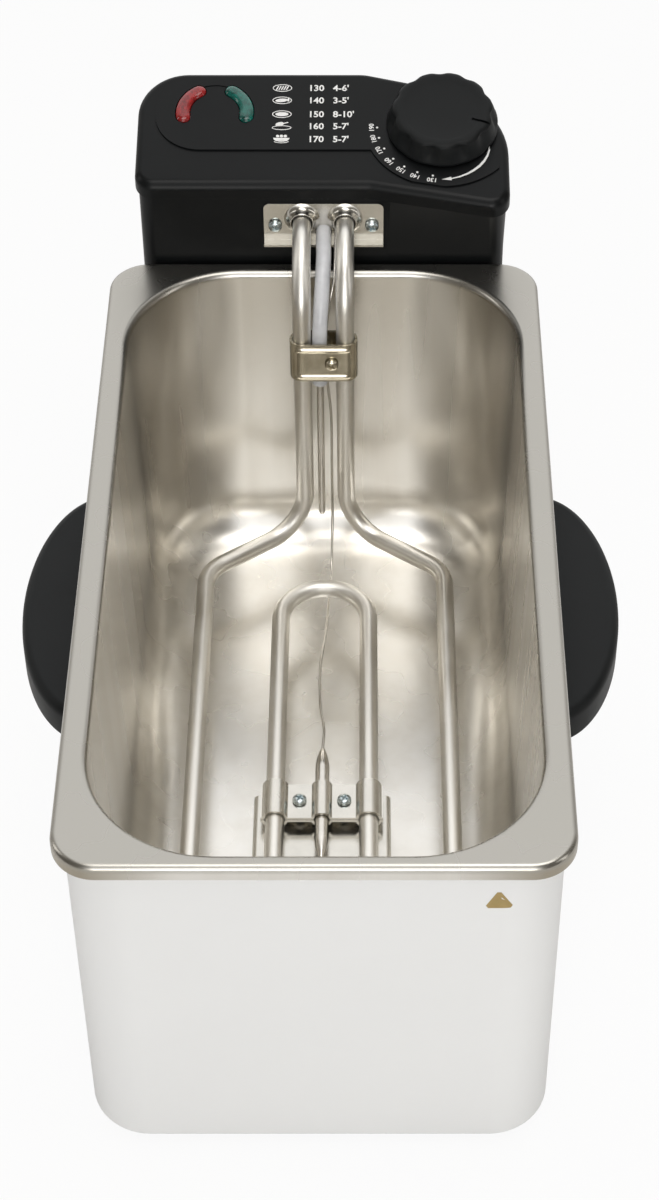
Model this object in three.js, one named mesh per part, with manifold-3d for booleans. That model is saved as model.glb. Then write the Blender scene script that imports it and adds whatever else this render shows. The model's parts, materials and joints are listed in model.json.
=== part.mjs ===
// A three-litre deep fryer: a painted housing, a lift-out steel pot, and a control head that lifts off
// with its heating element. Units are millimetres. X points right, Y points back, Z points up.
// Everything is drawn with y = 0 at the front edge of the pot's rim and z = 0 on the table; the group at
// the end moves the whole fryer so that its origin is under the middle of its overall length.
import * as THREE from "three";
import { mergeVertices } from "three/addons/utils/BufferGeometryUtils.js";
import Module from "manifold-3d";

const wasm = await Module();
wasm.setup();

// ---------------------------------------------------------------- driving dimensions

const SEAT_GAP = 0.3; // left between two pieces that touch
const SLIDE_GAP = 0.8; // left between two pieces that slide on each other

// The pot, and the flange that carries it
const POT_OPENING_WIDTH = 167;
const POT_OPENING_LENGTH = 330;
const POT_OPENING_CORNER = 48;
const POT_DEPTH = 150;
const POT_TAPER = 3; // how far each wall leans in from the rim to the floor
const POT_FLOOR_FILLET = 25;
const POT_SHEET = 1;
const RIM_BEND = 3; // radius of the roll from the flange into the pot
const FLANGE_SIDE = 10.5;
const FLANGE_FRONT = 7;
const FLANGE_REAR = 8;
const RIM_CORNER = 17;
const RIM_LIP_DROP = 6.5;
const RIM_EDGE = 2.4; // radius of the rim's turned-down edge

// The housing
const HOUSING_SETBACK = 3; // how far the rim stands out past the housing
const HOUSING_CORNER = 24;
const HOUSING_SHEET = 1;
const HOUSING_TOP_FLANGE = 1.5;
const HOUSING_BOTTOM_FLANGE = 14;
const HOUSING_BEND = 2; // radius where its wall turns into its bottom flange
const UNDER_POT = 21; // from the housing's bottom edge to the pot's floor
const BASE_PLATE = 2.5;
const BASE_SLOT = [5, 40]; // width and length of a vent slot
const BASE_SLOT_PITCH = [12, 88]; // from slot to slot, and from row to row
const BASE_SLOT_COUNT = 7; // in each of its two rows
const BASE_SCREW_LENGTH = 6.5;
const FOOT_HEIGHT = 4; // below the housing
const FOOT_RADIUS = 9;
const FOOT_STEM = 3;
const FOOT_CHAMFER = [1.2, 1]; // in and up
const FOOT_BARB = [1.2, 1.5]; // how far it stands out of the stem, and its height
const FOOT_INSET = 29; // from the housing's sides and ends to a foot's centre

// The side handles
const HANDLE_LENGTH = 129;
const HANDLE_REACH = 30.5;
const HANDLE_THICK = 16;
const HANDLE_WALL = 3;
const HANDLE_DROP = 42; // from the rim to the handle's top
const HANDLE_ALONG = 175; // from the rim's front edge to the handle's middle
const HANDLE_SCREW_SPREAD = 84;
const HANDLE_EDGE = 4; // its upper edge
const HANDLE_LOWER_EDGE = 1.2;
const HANDLE_BOSS = [4, 8]; // radius and length
const HANDLE_SCREW_LENGTH = 7;

// The control head
const HEAD_HALF_WIDTH = 82;
const HEAD_DEPTH = 65; // up the slope of its top
const HEAD_REAR_FALL = 16; // how much less deep it is at its right side
const HEAD_RISE = 41.6; // from the rim to the front edge of its top
const HEAD_DROP = 95; // how far it hangs behind the housing, below the rim
const HEAD_SWEEP = 12; // how far its right end comes forward at the top
const HEAD_LOW_SWEEP = 0.5; // and at the rim
const HEAD_BEND_X = 20; // where the sweep starts at the top
const HEAD_LOW_BEND_X = 28; // and below the bracket's upper edge
const HEAD_REAR_BEND_X = 18; // where its rear edge starts to fall
const HEAD_BEND_RADII = [10, 20]; // at the front bend and at the rear one
const HEAD_RIGHT_SHORT = 1; // how much less it reaches on its right
const HEAD_CORNERS = [8, 8, 37, 22]; // front left, front right, rear right, rear left
const HEAD_WALL = 2.2;
const HEAD_EDGE = 3.5;
const CASE_EDGE = 4;
const PANEL_TILT = THREE.MathUtils.degToRad(14);
const COVER_SKIRT = 8;
const COVER_PROUD = 1.4; // how far the cover stands out past the case
const PLATEAU_RISE = 0.8; // of the raised field that carries the lamps and the dial
const PLATEAU_SIDE = 8; // from the head's left side to the field
const PLATEAU_REAR = 2.6; // from the head's rear edge to the field
const PLATEAU_DEPTH = 43.4;
const PLATEAU_CORNER = 20;
const LAMP_BOARD_DEPTH = 15; // from the raised field down to the lamps' board
const COVER_TAB = [12, 16, 4]; // width, depth and thickness of the tabs that the cover is screwed by
const COVER_SCREW_DROP = 15; // from the panel's rear edge to the cover's screws
const COVER_SCREW_LENGTH = 7;
const LAMP_POST_RADIUS = 2.6; // of the posts under the cover that hold the lamps' board
const COVER_TAB_XS = [-26, 8];

// The dial and its thermostat, placed across and up the panel. What the panel carries is measured from its rear edge.
const DIAL = [52, HEAD_DEPTH - 32.5];
const DIAL_FIELD = 34; // radius of the raised field round the dial
const KNOB_RADIUS = 24.5;
const KNOB_TOP_RADIUS = 21.5;
const KNOB_HEIGHT = 11;
const KNOB_LOBES = 11;
const KNOB_SCALLOP = 1.1;
const KNOB_WALL = 2.5;
const KNOB_HUB = 6;
const KNOB_NOTCH = [1.4, 0.9, 8]; // width, depth, and how far it reaches in from the top's edge
const KNOB_OFF_ANGLE = THREE.MathUtils.degToRad(-22);
const KNOB_LIFT = 0.8; // its bottom over the panel
const SHAFT_RADIUS = 3;
const SHAFT_PLAY = 0.15;
const BUSH_RADIUS = 5;
const THERMOSTAT = [34, 22, 16]; // across, up the panel, and deep
const THERMOSTAT_SHIFT = [-2, -7]; // of its middle from the dial's
const THERMOSTAT_SCREW_SPREAD = 24;
const THERMOSTAT_SCREW_LENGTH = 6.5;
const SHAFT_SHORT = 4; // from the knob's top to the shaft's
const SHAFT_FLAT = [2, 1.5]; // from its axis, and up from the panel

// The pilot lamps, on a ring
const LAMP_RING = [-48, HEAD_DEPTH - 24.5];
const LENS_OUTER = 17.2;
const LENS_INNER = 11;
const LENS_PROUD = 1.2;
const LENS_LIP = 1.2; // how far its shoulder reaches under the cover
const RED_ARC = [121, 191];
const GREEN_ARC = [-11, 59];
const LAMP_RADIUS = 2.4;
const LAMP_LENGTH = 8;
const LAMP_BOARD = [51, 18, 1.6];
const LAMP_BOARD_SCREW = [6, 2.6]; // length and head radius
const LENS_SHOULDER = 1.2; // thickness of that lip
const LENS_BEVEL = 1;

// The heating element
const TUBE_RADIUS = 4;
const OUTER_LEG = 54.5;
const INNER_LEG = 19.7;
const ELEMENT_OVER_FLOOR = 24; // from the pot's floor to the tube's axis
const ELEMENT_BEHIND = 28; // from the pot's rear wall to the hanging tubes
const ELEMENT_FRONT = 28; // from the pot's front wall to the front bends' crowns
const SHOULDER_BACK = 32.5; // from the hanging tubes forward to the outer legs' corner
const LOOP_BACK = 43.5; // from the hanging tubes forward to the inner loop's crown
const TUBE_OVER_RIM = 23.5;
const NECK_BEND = 28;
const FOOT_BEND = 20;
const SHOULDER_BEND = 17;
const TUBE_INTO_HEAD = 16;
const TERMINAL_PIN = [1.2, 9]; // radius and length

// The bracket on the head, the neck clamp and the bulb clamp
const BRACKET_WIDTH = 52.4;
const BRACKET_HEIGHT = 20.2;
const BRACKET_OVER_RIM = 11; // to its lower edge
const BRACKET_LIP = 4;
const BRACKET_SCREW_OVER_RIM = 20;
const COLLAR = [6.6, 5, 4]; // radius at the bracket, radius at its mouth, and length
const SHEET = 1.2;
const BRACKET_SCREW_SPREAD = 42.4;
const BRACKET_SCREW_LENGTH = 8;
const BRACKET_CORNER = 1.5;
const NECK_CLAMP_DROP = 14; // from the rim to its top
const NECK_CLAMP_HEIGHT = 20;
const NECK_RIDGE = [1.6, 0.7, 2.6]; // height, relief, and how far each lies from an edge of its front
const NECK_PLAY = [0.2, 0.45, 0.35]; // tube to sleeve, sleeve to clamp screw, and screw to the other tube
const BULB_CLAMP_LENGTH = 18.4;
const BULB_CLAMP_AHEAD = 172; // from the hanging tubes forward to its middle
const BULB_SCREW_SPREAD = 18.8;
const SUPPORT_LENGTH = 40;
const SUPPORT_HALF_WIDTH = 29;
const STRAP_PAST_LEG = 6; // how far the straps reach past the inner legs

// The sensors
const SLEEVE_RADIUS = 3.4;
const SLEEVE_FIT = 1; // between the limiter's bulb and the sleeve's bore
const SLEEVE_OVER_RIM = 16.5; // where it leaves the head
const SLEEVE_DROP = 39; // its end, below the rim
const LIMITER_BULB_RADIUS = 1.6;
const LIMITER_BULB_DROP = 119; // its tip, below the rim
const CAPILLARY_RADIUS = 0.6;
const CAPILLARY_BESIDE = 1.8; // from the sleeve's side to the thermostat's capillary, where both leave the head
const CAPILLARY_OVER_RIM = 17;
const BULB_RADIUS = 3;
const BULB_LENGTH = 61;
const BULB_TAPER = 11.5;

// What holds the head to the housing, and tells it that it is home
const RAIL_X = 46; // each rail's web, from the middle
const RAIL_SHEET = 1.2;
const RAIL_FOOT = 12;
const RAIL_HOOK = 6;
const RAIL_DROP = [34, 84]; // from the rim to the rails' upper and lower ends
const STRIKER_X = 20;
const STRIKER_WIDTH = 12;
const STRIKER_REACH = 20;
const STRIKER_HEIGHT = 14;
const STRIKER_DROP = 3; // from the head's bottom to its shelf
const RAIL_SCREW_LENGTH = 3.2;
const SWITCH_OVER_BOTTOM = 9; // from the head's bottom to the switch
const SWITCH_LEG = 3;
const PLUNGER_RADIUS = 2;
const SWITCH = [20, 8, 12];

// Inside and on the back of the head
const CUTOUT = [22, 18, 22];
const CUTOUT_X = -30;
const CUTOUT_OVER_BOTTOM = 55; // to its middle
const BUTTON_RADIUS = 4;
const BUTTON_PROUD = 3.5;
const TERMINALS = [40, 16, 14];
const TERMINALS_X = 14;
const TERMINALS_AHEAD = 22; // from the case's rear wall
const TERMINAL_WELL = [3, 5]; // radius and depth
const GLAND_X = 45;
const GLAND_OVER_BOTTOM = 16;
const GLAND_RADIUS = 7;
const GLAND_FLANGE = 2.4;
const GLAND_LIP = [2.5, 3]; // how far it stands out inside the wall and outside it
const GLAND_BORE = 3.6;

// Small screws
const SCREW_HEAD_RADIUS = 3;
const SCREW_HEAD = 2;
const SCREW_SHANK = 1.5;

// ---------------------------------------------------------------- places worked out from them

const POT_FLOOR_Z = FOOT_HEIGHT + UNDER_POT;
const RIM_Z = POT_FLOOR_Z + POT_DEPTH;
const RIM_WIDTH = POT_OPENING_WIDTH + 2 * FLANGE_SIDE;
const RIM_LENGTH = FLANGE_FRONT + POT_OPENING_LENGTH + FLANGE_REAR;
const OPENING_FRONT = FLANGE_FRONT;
const OPENING_REAR = FLANGE_FRONT + POT_OPENING_LENGTH;
const HOUSING_HALF_WIDTH = RIM_WIDTH / 2 - HOUSING_SETBACK;
const HOUSING_FRONT = HOUSING_SETBACK;
const HOUSING_REAR = RIM_LENGTH - HOUSING_SETBACK;
const HOUSING_TOP_Z = RIM_Z - POT_SHEET - SEAT_GAP;
const BASE_PLATE_Z = FOOT_HEIGHT + HOUSING_SHEET + SEAT_GAP;
const HEAD_FRONT = RIM_LENGTH + 2 * SEAT_GAP;
const HEAD_BOTTOM_Z = RIM_Z - HEAD_DROP;
const HEAD_SLOPE = Math.tan(PANEL_TILT);
const HEAD_REAR = HEAD_FRONT + HEAD_DEPTH * Math.cos(PANEL_TILT);
const CASE_FRONT = HEAD_FRONT + COVER_PROUD;
const CASE_REAR = HEAD_REAR - COVER_PROUD;
const PANEL_FRONT_Z = RIM_Z + HEAD_RISE;
const OVERALL_LENGTH = CASE_REAR + SEAT_GAP + Math.max(GLAND_FLANGE, BUTTON_PROUD, SCREW_HEAD);
const ELEMENT_Z = POT_FLOOR_Z + POT_SHEET + ELEMENT_OVER_FLOOR;
const NECK_Y = OPENING_REAR - ELEMENT_BEHIND;
const TUBE_TOP_Z = RIM_Z + TUBE_OVER_RIM;
const TUBE_HOLE = TUBE_RADIUS + SEAT_GAP;
const [SLEEVE_PLAY, SCREW_PLAY, SCREW_TO_TUBE] = NECK_PLAY;
const NECK_SPARE = SLEEVE_PLAY + SCREW_PLAY + SCREW_TO_TUBE;
const TUBE_SPREAD = TUBE_RADIUS + SLEEVE_RADIUS + SCREW_SHANK + NECK_SPARE / 2; // from the middle to each hanging tube
const SLEEVE_X = TUBE_RADIUS + SLEEVE_RADIUS + SLEEVE_PLAY - TUBE_SPREAD;
const NECK_SCREW_X = TUBE_SPREAD - TUBE_RADIUS - SCREW_TO_TUBE - SCREW_SHANK;
const CAPILLARY_X = SLEEVE_RADIUS + CAPILLARY_BESIDE;
const BULB_Y = NECK_Y - BULB_CLAMP_AHEAD;
const SCREW_HOLE = SCREW_SHANK + SEAT_GAP;
const SIDES = [["left", -1], ["right", 1]];

// ---------------------------------------------------------------- finishes

const finish = (color, roughness, metalness) => new THREE.MeshStandardMaterial({ color, roughness, metalness });
const WHITE_PAINT = finish("#e3e4e3", 0.45, 0);
const STAINLESS = finish("#b9b2a6", 0.32, 1);
const BRIGHT_STEEL = finish("#c9c4bb", 0.25, 1);
const ZINC = finish("#aab6b8", 0.3, 1);
const BLACK_PLASTIC = finish("#1d1f20", 0.5, 0);
const DARK_PLASTIC = finish("#101112", 0.45, 0);
const RUBBER = finish("#161616", 0.9, 0);
const RED_LENS = finish("#b3161b", 0.2, 0);
const GREEN_LENS = finish("#0b8a63", 0.2, 0);
const SILICONE = finish("#b9bcc4", 0.4, 0);
const BAKELITE = finish("#3a2c22", 0.6, 0);
const CERAMIC = finish("#e8e4da", 0.5, 0);
const RED_PLASTIC = finish("#a01512", 0.4, 0);

// ---------------------------------------------------------------- solids

// A closed geometry as a manifold-3d solid, turned to face outwards.
function solid(geometry) {
  const flat = geometry.index ? geometry.toNonIndexed() : geometry.clone();
  const bare = new THREE.BufferGeometry().setAttribute("position", flat.getAttribute("position"));
  const merged = mergeVertices(bare, 1e-4);
  const vertProperties = new Float32Array(merged.attributes.position.array);
  const triVerts = new Uint32Array(merged.index.array);
  let made = new wasm.Manifold(new wasm.Mesh({ numProp: 3, vertProperties, triVerts }));
  if (made.volume() < 0) {
    for (let i = 0; i < triVerts.length; i += 3) {
      [triVerts[i + 1], triVerts[i + 2]] = [triVerts[i + 2], triVerts[i + 1]];
    }
    made = new wasm.Manifold(new wasm.Mesh({ numProp: 3, vertProperties, triVerts }));
  }
  return made;
}

function geometryOf(made) {
  const mesh = made.getMesh();
  const points = new Float32Array(mesh.numVert * 3);
  for (let i = 0; i < mesh.numVert; i++) {
    points.set(mesh.vertProperties.subarray(i * mesh.numProp, i * mesh.numProp + 3), i * 3);
  }
  return new THREE.BufferGeometry()
    .setAttribute("position", new THREE.BufferAttribute(points, 3))
    .setIndex(new THREE.BufferAttribute(mesh.triVerts, 1));
}

const join = (first, ...others) => others.reduce((whole, next) => whole.add(next), first);
const cut = (whole, ...tools) => tools.reduce((left, tool) => left.subtract(tool), whole);

// Skin over a list of rings with equal numbers of points. An open list gets a flat cap on its first and last
// ring; a closed one joins its last ring to its first.
function skin(rings, closed = false) {
  const count = rings[0].length;
  const points = rings.flat();
  const faces = [];
  const last = closed ? rings.length : rings.length - 1;
  for (let i = 0; i < last; i++) {
    const low = i * count;
    const high = ((i + 1) % rings.length) * count;
    for (let j = 0; j < count; j++) {
      const k = (j + 1) % count;
      faces.push(low + j, low + k, high + k, low + j, high + k, high + j);
    }
  }
  if (!closed) {
    for (const [start, forward] of [[0, false], [(rings.length - 1) * count, true]]) {
      const ring = points.slice(start, start + count);
      for (const [a, b, c] of capTriangles(ring)) {
        faces.push(start + a, start + (forward ? b : c), start + (forward ? c : b));
      }
    }
  }
  const geometry = new THREE.BufferGeometry().setFromPoints(points);
  geometry.setIndex(faces);
  return solid(geometry);
}

// Triangles over one flat ring, wound the way the ring runs.
function capTriangles(ring) {
  const normal = new THREE.Vector3();
  ring.forEach((p, i) => normal.add(new THREE.Vector3().crossVectors(p, ring[(i + 1) % ring.length])));
  const turn = new THREE.Quaternion().setFromUnitVectors(normal.normalize(), new THREE.Vector3(0, 0, 1));
  const flat = ring.map((p) => p.clone().applyQuaternion(turn));
  return THREE.ShapeUtils.triangulateShape(flat.map((p) => new THREE.Vector2(p.x, p.y)), []);
}

const box = (x0, x1, y0, y1, z0, z1) =>
  solid(new THREE.BoxGeometry(x1 - x0, y1 - y0, z1 - z0).translate((x0 + x1) / 2, (y0 + y1) / 2, (z0 + z1) / 2));

const TOWARDS = {
  up: (g) => g.rotateX(Math.PI / 2),
  down: (g) => g.rotateX(-Math.PI / 2),
  back: (g) => g,
  front: (g) => g.rotateX(Math.PI),
  right: (g) => g.rotateZ(-Math.PI / 2),
  left: (g) => g.rotateZ(Math.PI / 2),
};

// A turned piece. Its profile is a list of [radius, distance along the axis], and it runs from `at` towards `way`.
function turned(profile, at, way = "up", sides = 20) {
  const points = profile.map(([radius, along]) => new THREE.Vector2(radius, along));
  const onAxis = [new THREE.Vector2(0, points[0].y), ...points, new THREE.Vector2(0, points.at(-1).y)];
  return solid(TOWARDS[way](new THREE.LatheGeometry(onAxis, sides)).translate(...at));
}

const rod = (radius, from, to, at, way = "up", sides = 16) =>
  turned([[radius, from], [radius, to]], at, way, sides);

// A flat shape in X and Y pushed up from z0 to z1.
function slab(points, z0, z1, holes = []) {
  const shape = new THREE.Shape(points);
  shape.holes = holes.map((hole) => new THREE.Path(hole));
  return solid(new THREE.ExtrudeGeometry(shape, { depth: z1 - z0, bevelEnabled: false }).translate(0, 0, z0));
}

// An outline with rounded corners: each corner is [x, y, radius]. Inset moves every edge inwards.
function outline(corners, inset = 0, steps = 6) {
  const moved = corners.map(([x, y, radius], i) => {
    const [px, py] = corners.at(i - 1);
    const [nx, ny] = corners[(i + 1) % corners.length];
    const before = new THREE.Vector2(x - px, y - py).normalize();
    const after = new THREE.Vector2(nx - x, ny - y).normalize();
    const lean = 1 + before.dot(after);
    const side = new THREE.Vector2(-before.y - after.y, before.x + after.x).multiplyScalar(inset / lean);
    const turnsLeft = before.x * after.y - before.y * after.x > 0;
    return [x + side.x, y + side.y, Math.max(radius + (turnsLeft ? -inset : inset), 0.4)];
  });
  const points = [];
  moved.forEach(([x, y, radius], i) => {
    const [px, py] = moved.at(i - 1);
    const [nx, ny] = moved[(i + 1) % moved.length];
    const corner = new THREE.Vector2(x, y);
    points.push(...roundCorner(new THREE.Vector2(px, py), corner, new THREE.Vector2(nx, ny), radius, steps));
  });
  return points;
}

// The arc that rounds a corner between two straight runs, for 2-D or 3-D points.
function roundCorner(before, corner, after, radius, steps) {
  const back = before.clone().sub(corner).normalize();
  const ahead = after.clone().sub(corner).normalize();
  const half = Math.acos(THREE.MathUtils.clamp(back.dot(ahead), -1, 1)) / 2;
  const reach = radius / Math.tan(half);
  const start = corner.clone().addScaledVector(back, reach);
  const end = corner.clone().addScaledVector(ahead, reach);
  const middle = back.clone().add(ahead).normalize();
  const centre = corner.clone().addScaledVector(middle, radius / Math.sin(half));
  const from = start.clone().sub(centre);
  const to = end.clone().sub(centre);
  const sweep = Math.PI - 2 * half;
  return Array.from({ length: steps + 1 }, (_, i) => {
    const t = (i / steps) * sweep;
    const p = centre.clone().addScaledVector(from, Math.sin(sweep - t) / Math.sin(sweep));
    return p.addScaledVector(to, Math.sin(t) / Math.sin(sweep));
  });
}

const rectangle = (halfWidth, y0, y1, radius) => [
  [halfWidth, y0, radius],
  [halfWidth, y1, radius],
  [-halfWidth, y1, radius],
  [-halfWidth, y0, radius],
];

const lift = (points, z) => points.map((p) => new THREE.Vector3(p.x, p.y, typeof z === "function" ? z(p) : z));

// A round bar along straight runs joined by bends: each stop is [x, y, z, bend radius].
function bentBar(stops, radius, sides = 10, steps = 6) {
  const at = stops.map(([x, y, z]) => new THREE.Vector3(x, y, z));
  const path = [at[0]];
  for (let i = 1; i < at.length - 1; i++) {
    path.push(...roundCorner(at[i - 1], at[i], at[i + 1], stops[i][3], steps));
  }
  path.push(at.at(-1));
  return bar(path, radius, sides);
}

// A round bar along a list of points, kept from twisting.
function bar(path, radius, sides = 10) {
  const headings = path.map((p, i) =>
    path[Math.min(i + 1, path.length - 1)].clone().sub(path[Math.max(i - 1, 0)]).normalize(),
  );
  let across = new THREE.Vector3(1, 0, 0);
  if (Math.abs(headings[0].x) > 0.9) across = new THREE.Vector3(0, 0, 1);
  const rings = path.map((p, i) => {
    across.addScaledVector(headings[i], -across.dot(headings[i])).normalize();
    const other = new THREE.Vector3().crossVectors(headings[i], across);
    return Array.from({ length: sides }, (_, j) => {
      const angle = (2 * Math.PI * j) / sides;
      const ring = p.clone().addScaledVector(across, radius * Math.cos(angle));
      return ring.addScaledVector(other, radius * Math.sin(angle));
    });
  });
  return skin(rings);
}

// A smooth bar through hand-picked points.
function softBar(points, radius, steps, sides = 8) {
  const curve = new THREE.CatmullRomCurve3(points.map((p) => new THREE.Vector3(...p)), false, "centripetal");
  return bar(curve.getSpacedPoints(steps), radius, sides);
}

// ---------------------------------------------------------------- the group and its frames

const fryer = new THREE.Group();
const body = new THREE.Group();
body.position.y = -OVERALL_LENGTH / 2;
fryer.add(body);

// The sloping panel's own frame: x across it, y up its slope, z straight out of the raised field.
const panel = new THREE.Group();
panel.position.set(0, HEAD_FRONT, PANEL_FRONT_Z);
panel.rotation.x = PANEL_TILT;
panel.translateZ(PLATEAU_RISE);
panel.updateMatrix();
body.add(panel);

function add(name, made, material, frame = body) {
  const mesh = new THREE.Mesh(geometryOf(made), material);
  mesh.name = name;
  frame.add(mesh);
}

// A tool drawn in the panel's frame, as a solid in the fryer's.
const fromPanel = (made) => solid(geometryOf(made).applyMatrix4(panel.matrix));

// A pan-head screw whose head sits at `at`, with its shank running towards `way`.
function screw(name, at, way, length, headRadius = SCREW_HEAD_RADIUS, frame = body) {
  const profile = [[headRadius * 0.8, -SCREW_HEAD], [headRadius, 0], [SCREW_SHANK, 0], [SCREW_SHANK, length]];
  add(name, turned(profile, at, way, 10), ZINC, frame);
}

// ---------------------------------------------------------------- pot

function pot() {
  const opening = (inset) =>
    outline(rectangle(POT_OPENING_WIDTH / 2, OPENING_FRONT, OPENING_REAR, POT_OPENING_CORNER), inset, 7);
  const rim = (inset) => outline(rectangle(RIM_WIDTH / 2, 0, RIM_LENGTH, RIM_CORNER), inset, 7);
  const bendZ = RIM_Z - RIM_BEND;
  const filletZ = POT_FLOOR_Z + POT_SHEET + POT_FLOOR_FILLET;
  // One face of the sheet, `under` being how far it lies below the other.
  const face = (under) => {
    const roll = RIM_BEND - under;
    const fillet = POT_FLOOR_FILLET + under;
    const rings = [];
    for (const a of quarter(3)) {
      rings.push(lift(opening(roll * Math.cos(a) - RIM_BEND), bendZ + roll * Math.sin(a)));
    }
    for (const a of quarter(4).reverse()) {
      const inset = POT_TAPER + POT_FLOOR_FILLET - fillet * Math.cos(a);
      rings.push(lift(opening(inset), filletZ - fillet * Math.sin(a)));
    }
    return rings;
  };
  const edge = (under) =>
    quarter(2).map((a) => {
      const radius = RIM_EDGE - under;
      return lift(rim(RIM_EDGE - radius * Math.cos(a)), RIM_Z - RIM_EDGE + radius * Math.sin(a));
    });
  const lip = [lift(rim(0), RIM_Z - RIM_LIP_DROP), lift(rim(POT_SHEET), RIM_Z - RIM_LIP_DROP)];
  const inside = [...face(0).reverse(), ...edge(0), lip[0]];
  const outside = [lip[1], ...edge(POT_SHEET).reverse(), ...face(POT_SHEET)];
  add("inner_pot", skin([...inside, ...outside]), STAINLESS);
}

// Angles that share out a quarter turn, from 90 degrees down to 0.
function quarter(steps) {
  return Array.from({ length: steps + 1 }, (_, i) => (Math.PI / 2) * (1 - i / steps));
}

// ---------------------------------------------------------------- housing

const housingOutline = (inset, steps = 5) =>
  outline(rectangle(HOUSING_HALF_WIDTH, HOUSING_FRONT, HOUSING_REAR, HOUSING_CORNER), inset, steps);

// The two screws of each handle, along the housing.
const handleScrewYs = () => [-1, 1].map((end) => HANDLE_ALONG + (end * HANDLE_SCREW_SPREAD) / 2);
const handleScrewZ = () => RIM_Z - HANDLE_DROP - HANDLE_THICK / 2;

// A foot under each corner.
const footPlaces = () => {
  const x = HOUSING_HALF_WIDTH - FOOT_INSET;
  const ys = [HOUSING_FRONT + FOOT_INSET, HOUSING_REAR - FOOT_INSET];
  return ys.flatMap((y) => [[-x, y], [x, y]]);
};
// A screw in the middle of each side.
const baseScrewPlaces = () => {
  const inset = HOUSING_BOTTOM_FLANGE / 2 + HOUSING_SHEET;
  const middle = (HOUSING_FRONT + HOUSING_REAR) / 2;
  const x = HOUSING_HALF_WIDTH - inset;
  return [[-x, middle], [x, middle], [0, HOUSING_FRONT + inset], [0, HOUSING_REAR - inset]];
};

function housing() {
  const bottom = FOOT_HEIGHT;
  const ring = (inset, z) => lift(housingOutline(inset), z);
  const inner = HOUSING_BEND - HOUSING_SHEET;
  const shell = skin([
    ring(HOUSING_TOP_FLANGE, HOUSING_TOP_Z),
    ring(HOUSING_SHEET * 0.3, HOUSING_TOP_Z),
    ring(0, HOUSING_TOP_Z - HOUSING_SHEET * 0.4),
    ...quarter(2).reverse().map((a) =>
      ring(HOUSING_BEND * (1 - Math.cos(a)), bottom + HOUSING_BEND * (1 - Math.sin(a)))),
    ring(HOUSING_BOTTOM_FLANGE, bottom),
    ring(HOUSING_BOTTOM_FLANGE, bottom + HOUSING_SHEET),
    ...quarter(2).map((a) =>
      ring(HOUSING_BEND - inner * Math.cos(a), bottom + HOUSING_BEND - inner * Math.sin(a))),
    ring(HOUSING_SHEET, HOUSING_TOP_Z - HOUSING_SHEET),
    ring(HOUSING_TOP_FLANGE, HOUSING_TOP_Z - HOUSING_SHEET),
  ], true);
  const holes = baseScrewPlaces().map(([x, y]) => rod(SCREW_HOLE, -1, 3, [x, y, FOOT_HEIGHT], "up", 10));
  for (const y of handleScrewYs()) {
    const at = [0, y, handleScrewZ()];
    holes.push(...SIDES.map(([way]) => rod(SCREW_HOLE, HOUSING_HALF_WIDTH - 3, HOUSING_HALF_WIDTH + 1, at, way, 10)));
  }
  for (const [x, z] of rearScrewPlaces()) {
    holes.push(rod(SCREW_HOLE, -3, 2, [x, HOUSING_REAR, z], "back", 10));
  }
  add("housing_shell", cut(shell, ...holes), WHITE_PAINT);
}

function base() {
  const plate = slab(housingOutline(HOUSING_BEND + SEAT_GAP), BASE_PLATE_Z, BASE_PLATE_Z + BASE_PLATE);
  const middle = (HOUSING_FRONT + HOUSING_REAR) / 2;
  const [width, length] = BASE_SLOT;
  const [across, along] = BASE_SLOT_PITCH;
  const slots = [];
  for (const row of [-0.5, 0.5]) {
    for (let i = 0; i < BASE_SLOT_COUNT; i++) {
      const x = (i - (BASE_SLOT_COUNT - 1) / 2) * across;
      const y = middle + row * along;
      slots.push(box(x - width / 2, x + width / 2, y - length / 2, y + length / 2, 0, BASE_PLATE_Z * 2));
    }
  }
  const places = footPlaces().map((p) => [...p, FOOT_STEM + SEAT_GAP]);
  places.push(...baseScrewPlaces().map((p) => [...p, SCREW_HOLE]));
  const holes = places.map(([x, y, radius]) => rod(radius, 0, 2 * BASE_PLATE_Z, [x, y, 0], "up", 16));
  add("base_plate", cut(plate, ...slots, ...holes), DARK_PLASTIC);
  footPlaces().forEach(([x, y], i) => {
    const under = BASE_PLATE_Z - SEAT_GAP;
    const over = BASE_PLATE_Z + BASE_PLATE + SEAT_GAP;
    const profile = [
      [FOOT_RADIUS - FOOT_CHAMFER[0], 0],
      [FOOT_RADIUS, FOOT_CHAMFER[1]],
      [FOOT_RADIUS, under],
      [FOOT_STEM, under],
      [FOOT_STEM, over],
      [FOOT_STEM + FOOT_BARB[0], over],
      [FOOT_STEM, over + FOOT_BARB[1]],
    ];
    add(`foot_${i + 1}`, turned(profile, [x, y, 0], "up", 16), RUBBER);
  });
  baseScrewPlaces().forEach(([x, y], i) => {
    screw(`base_screw_${i + 1}`, [x, y, FOOT_HEIGHT - SEAT_GAP], "up", BASE_SCREW_LENGTH);
  });
}

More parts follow.
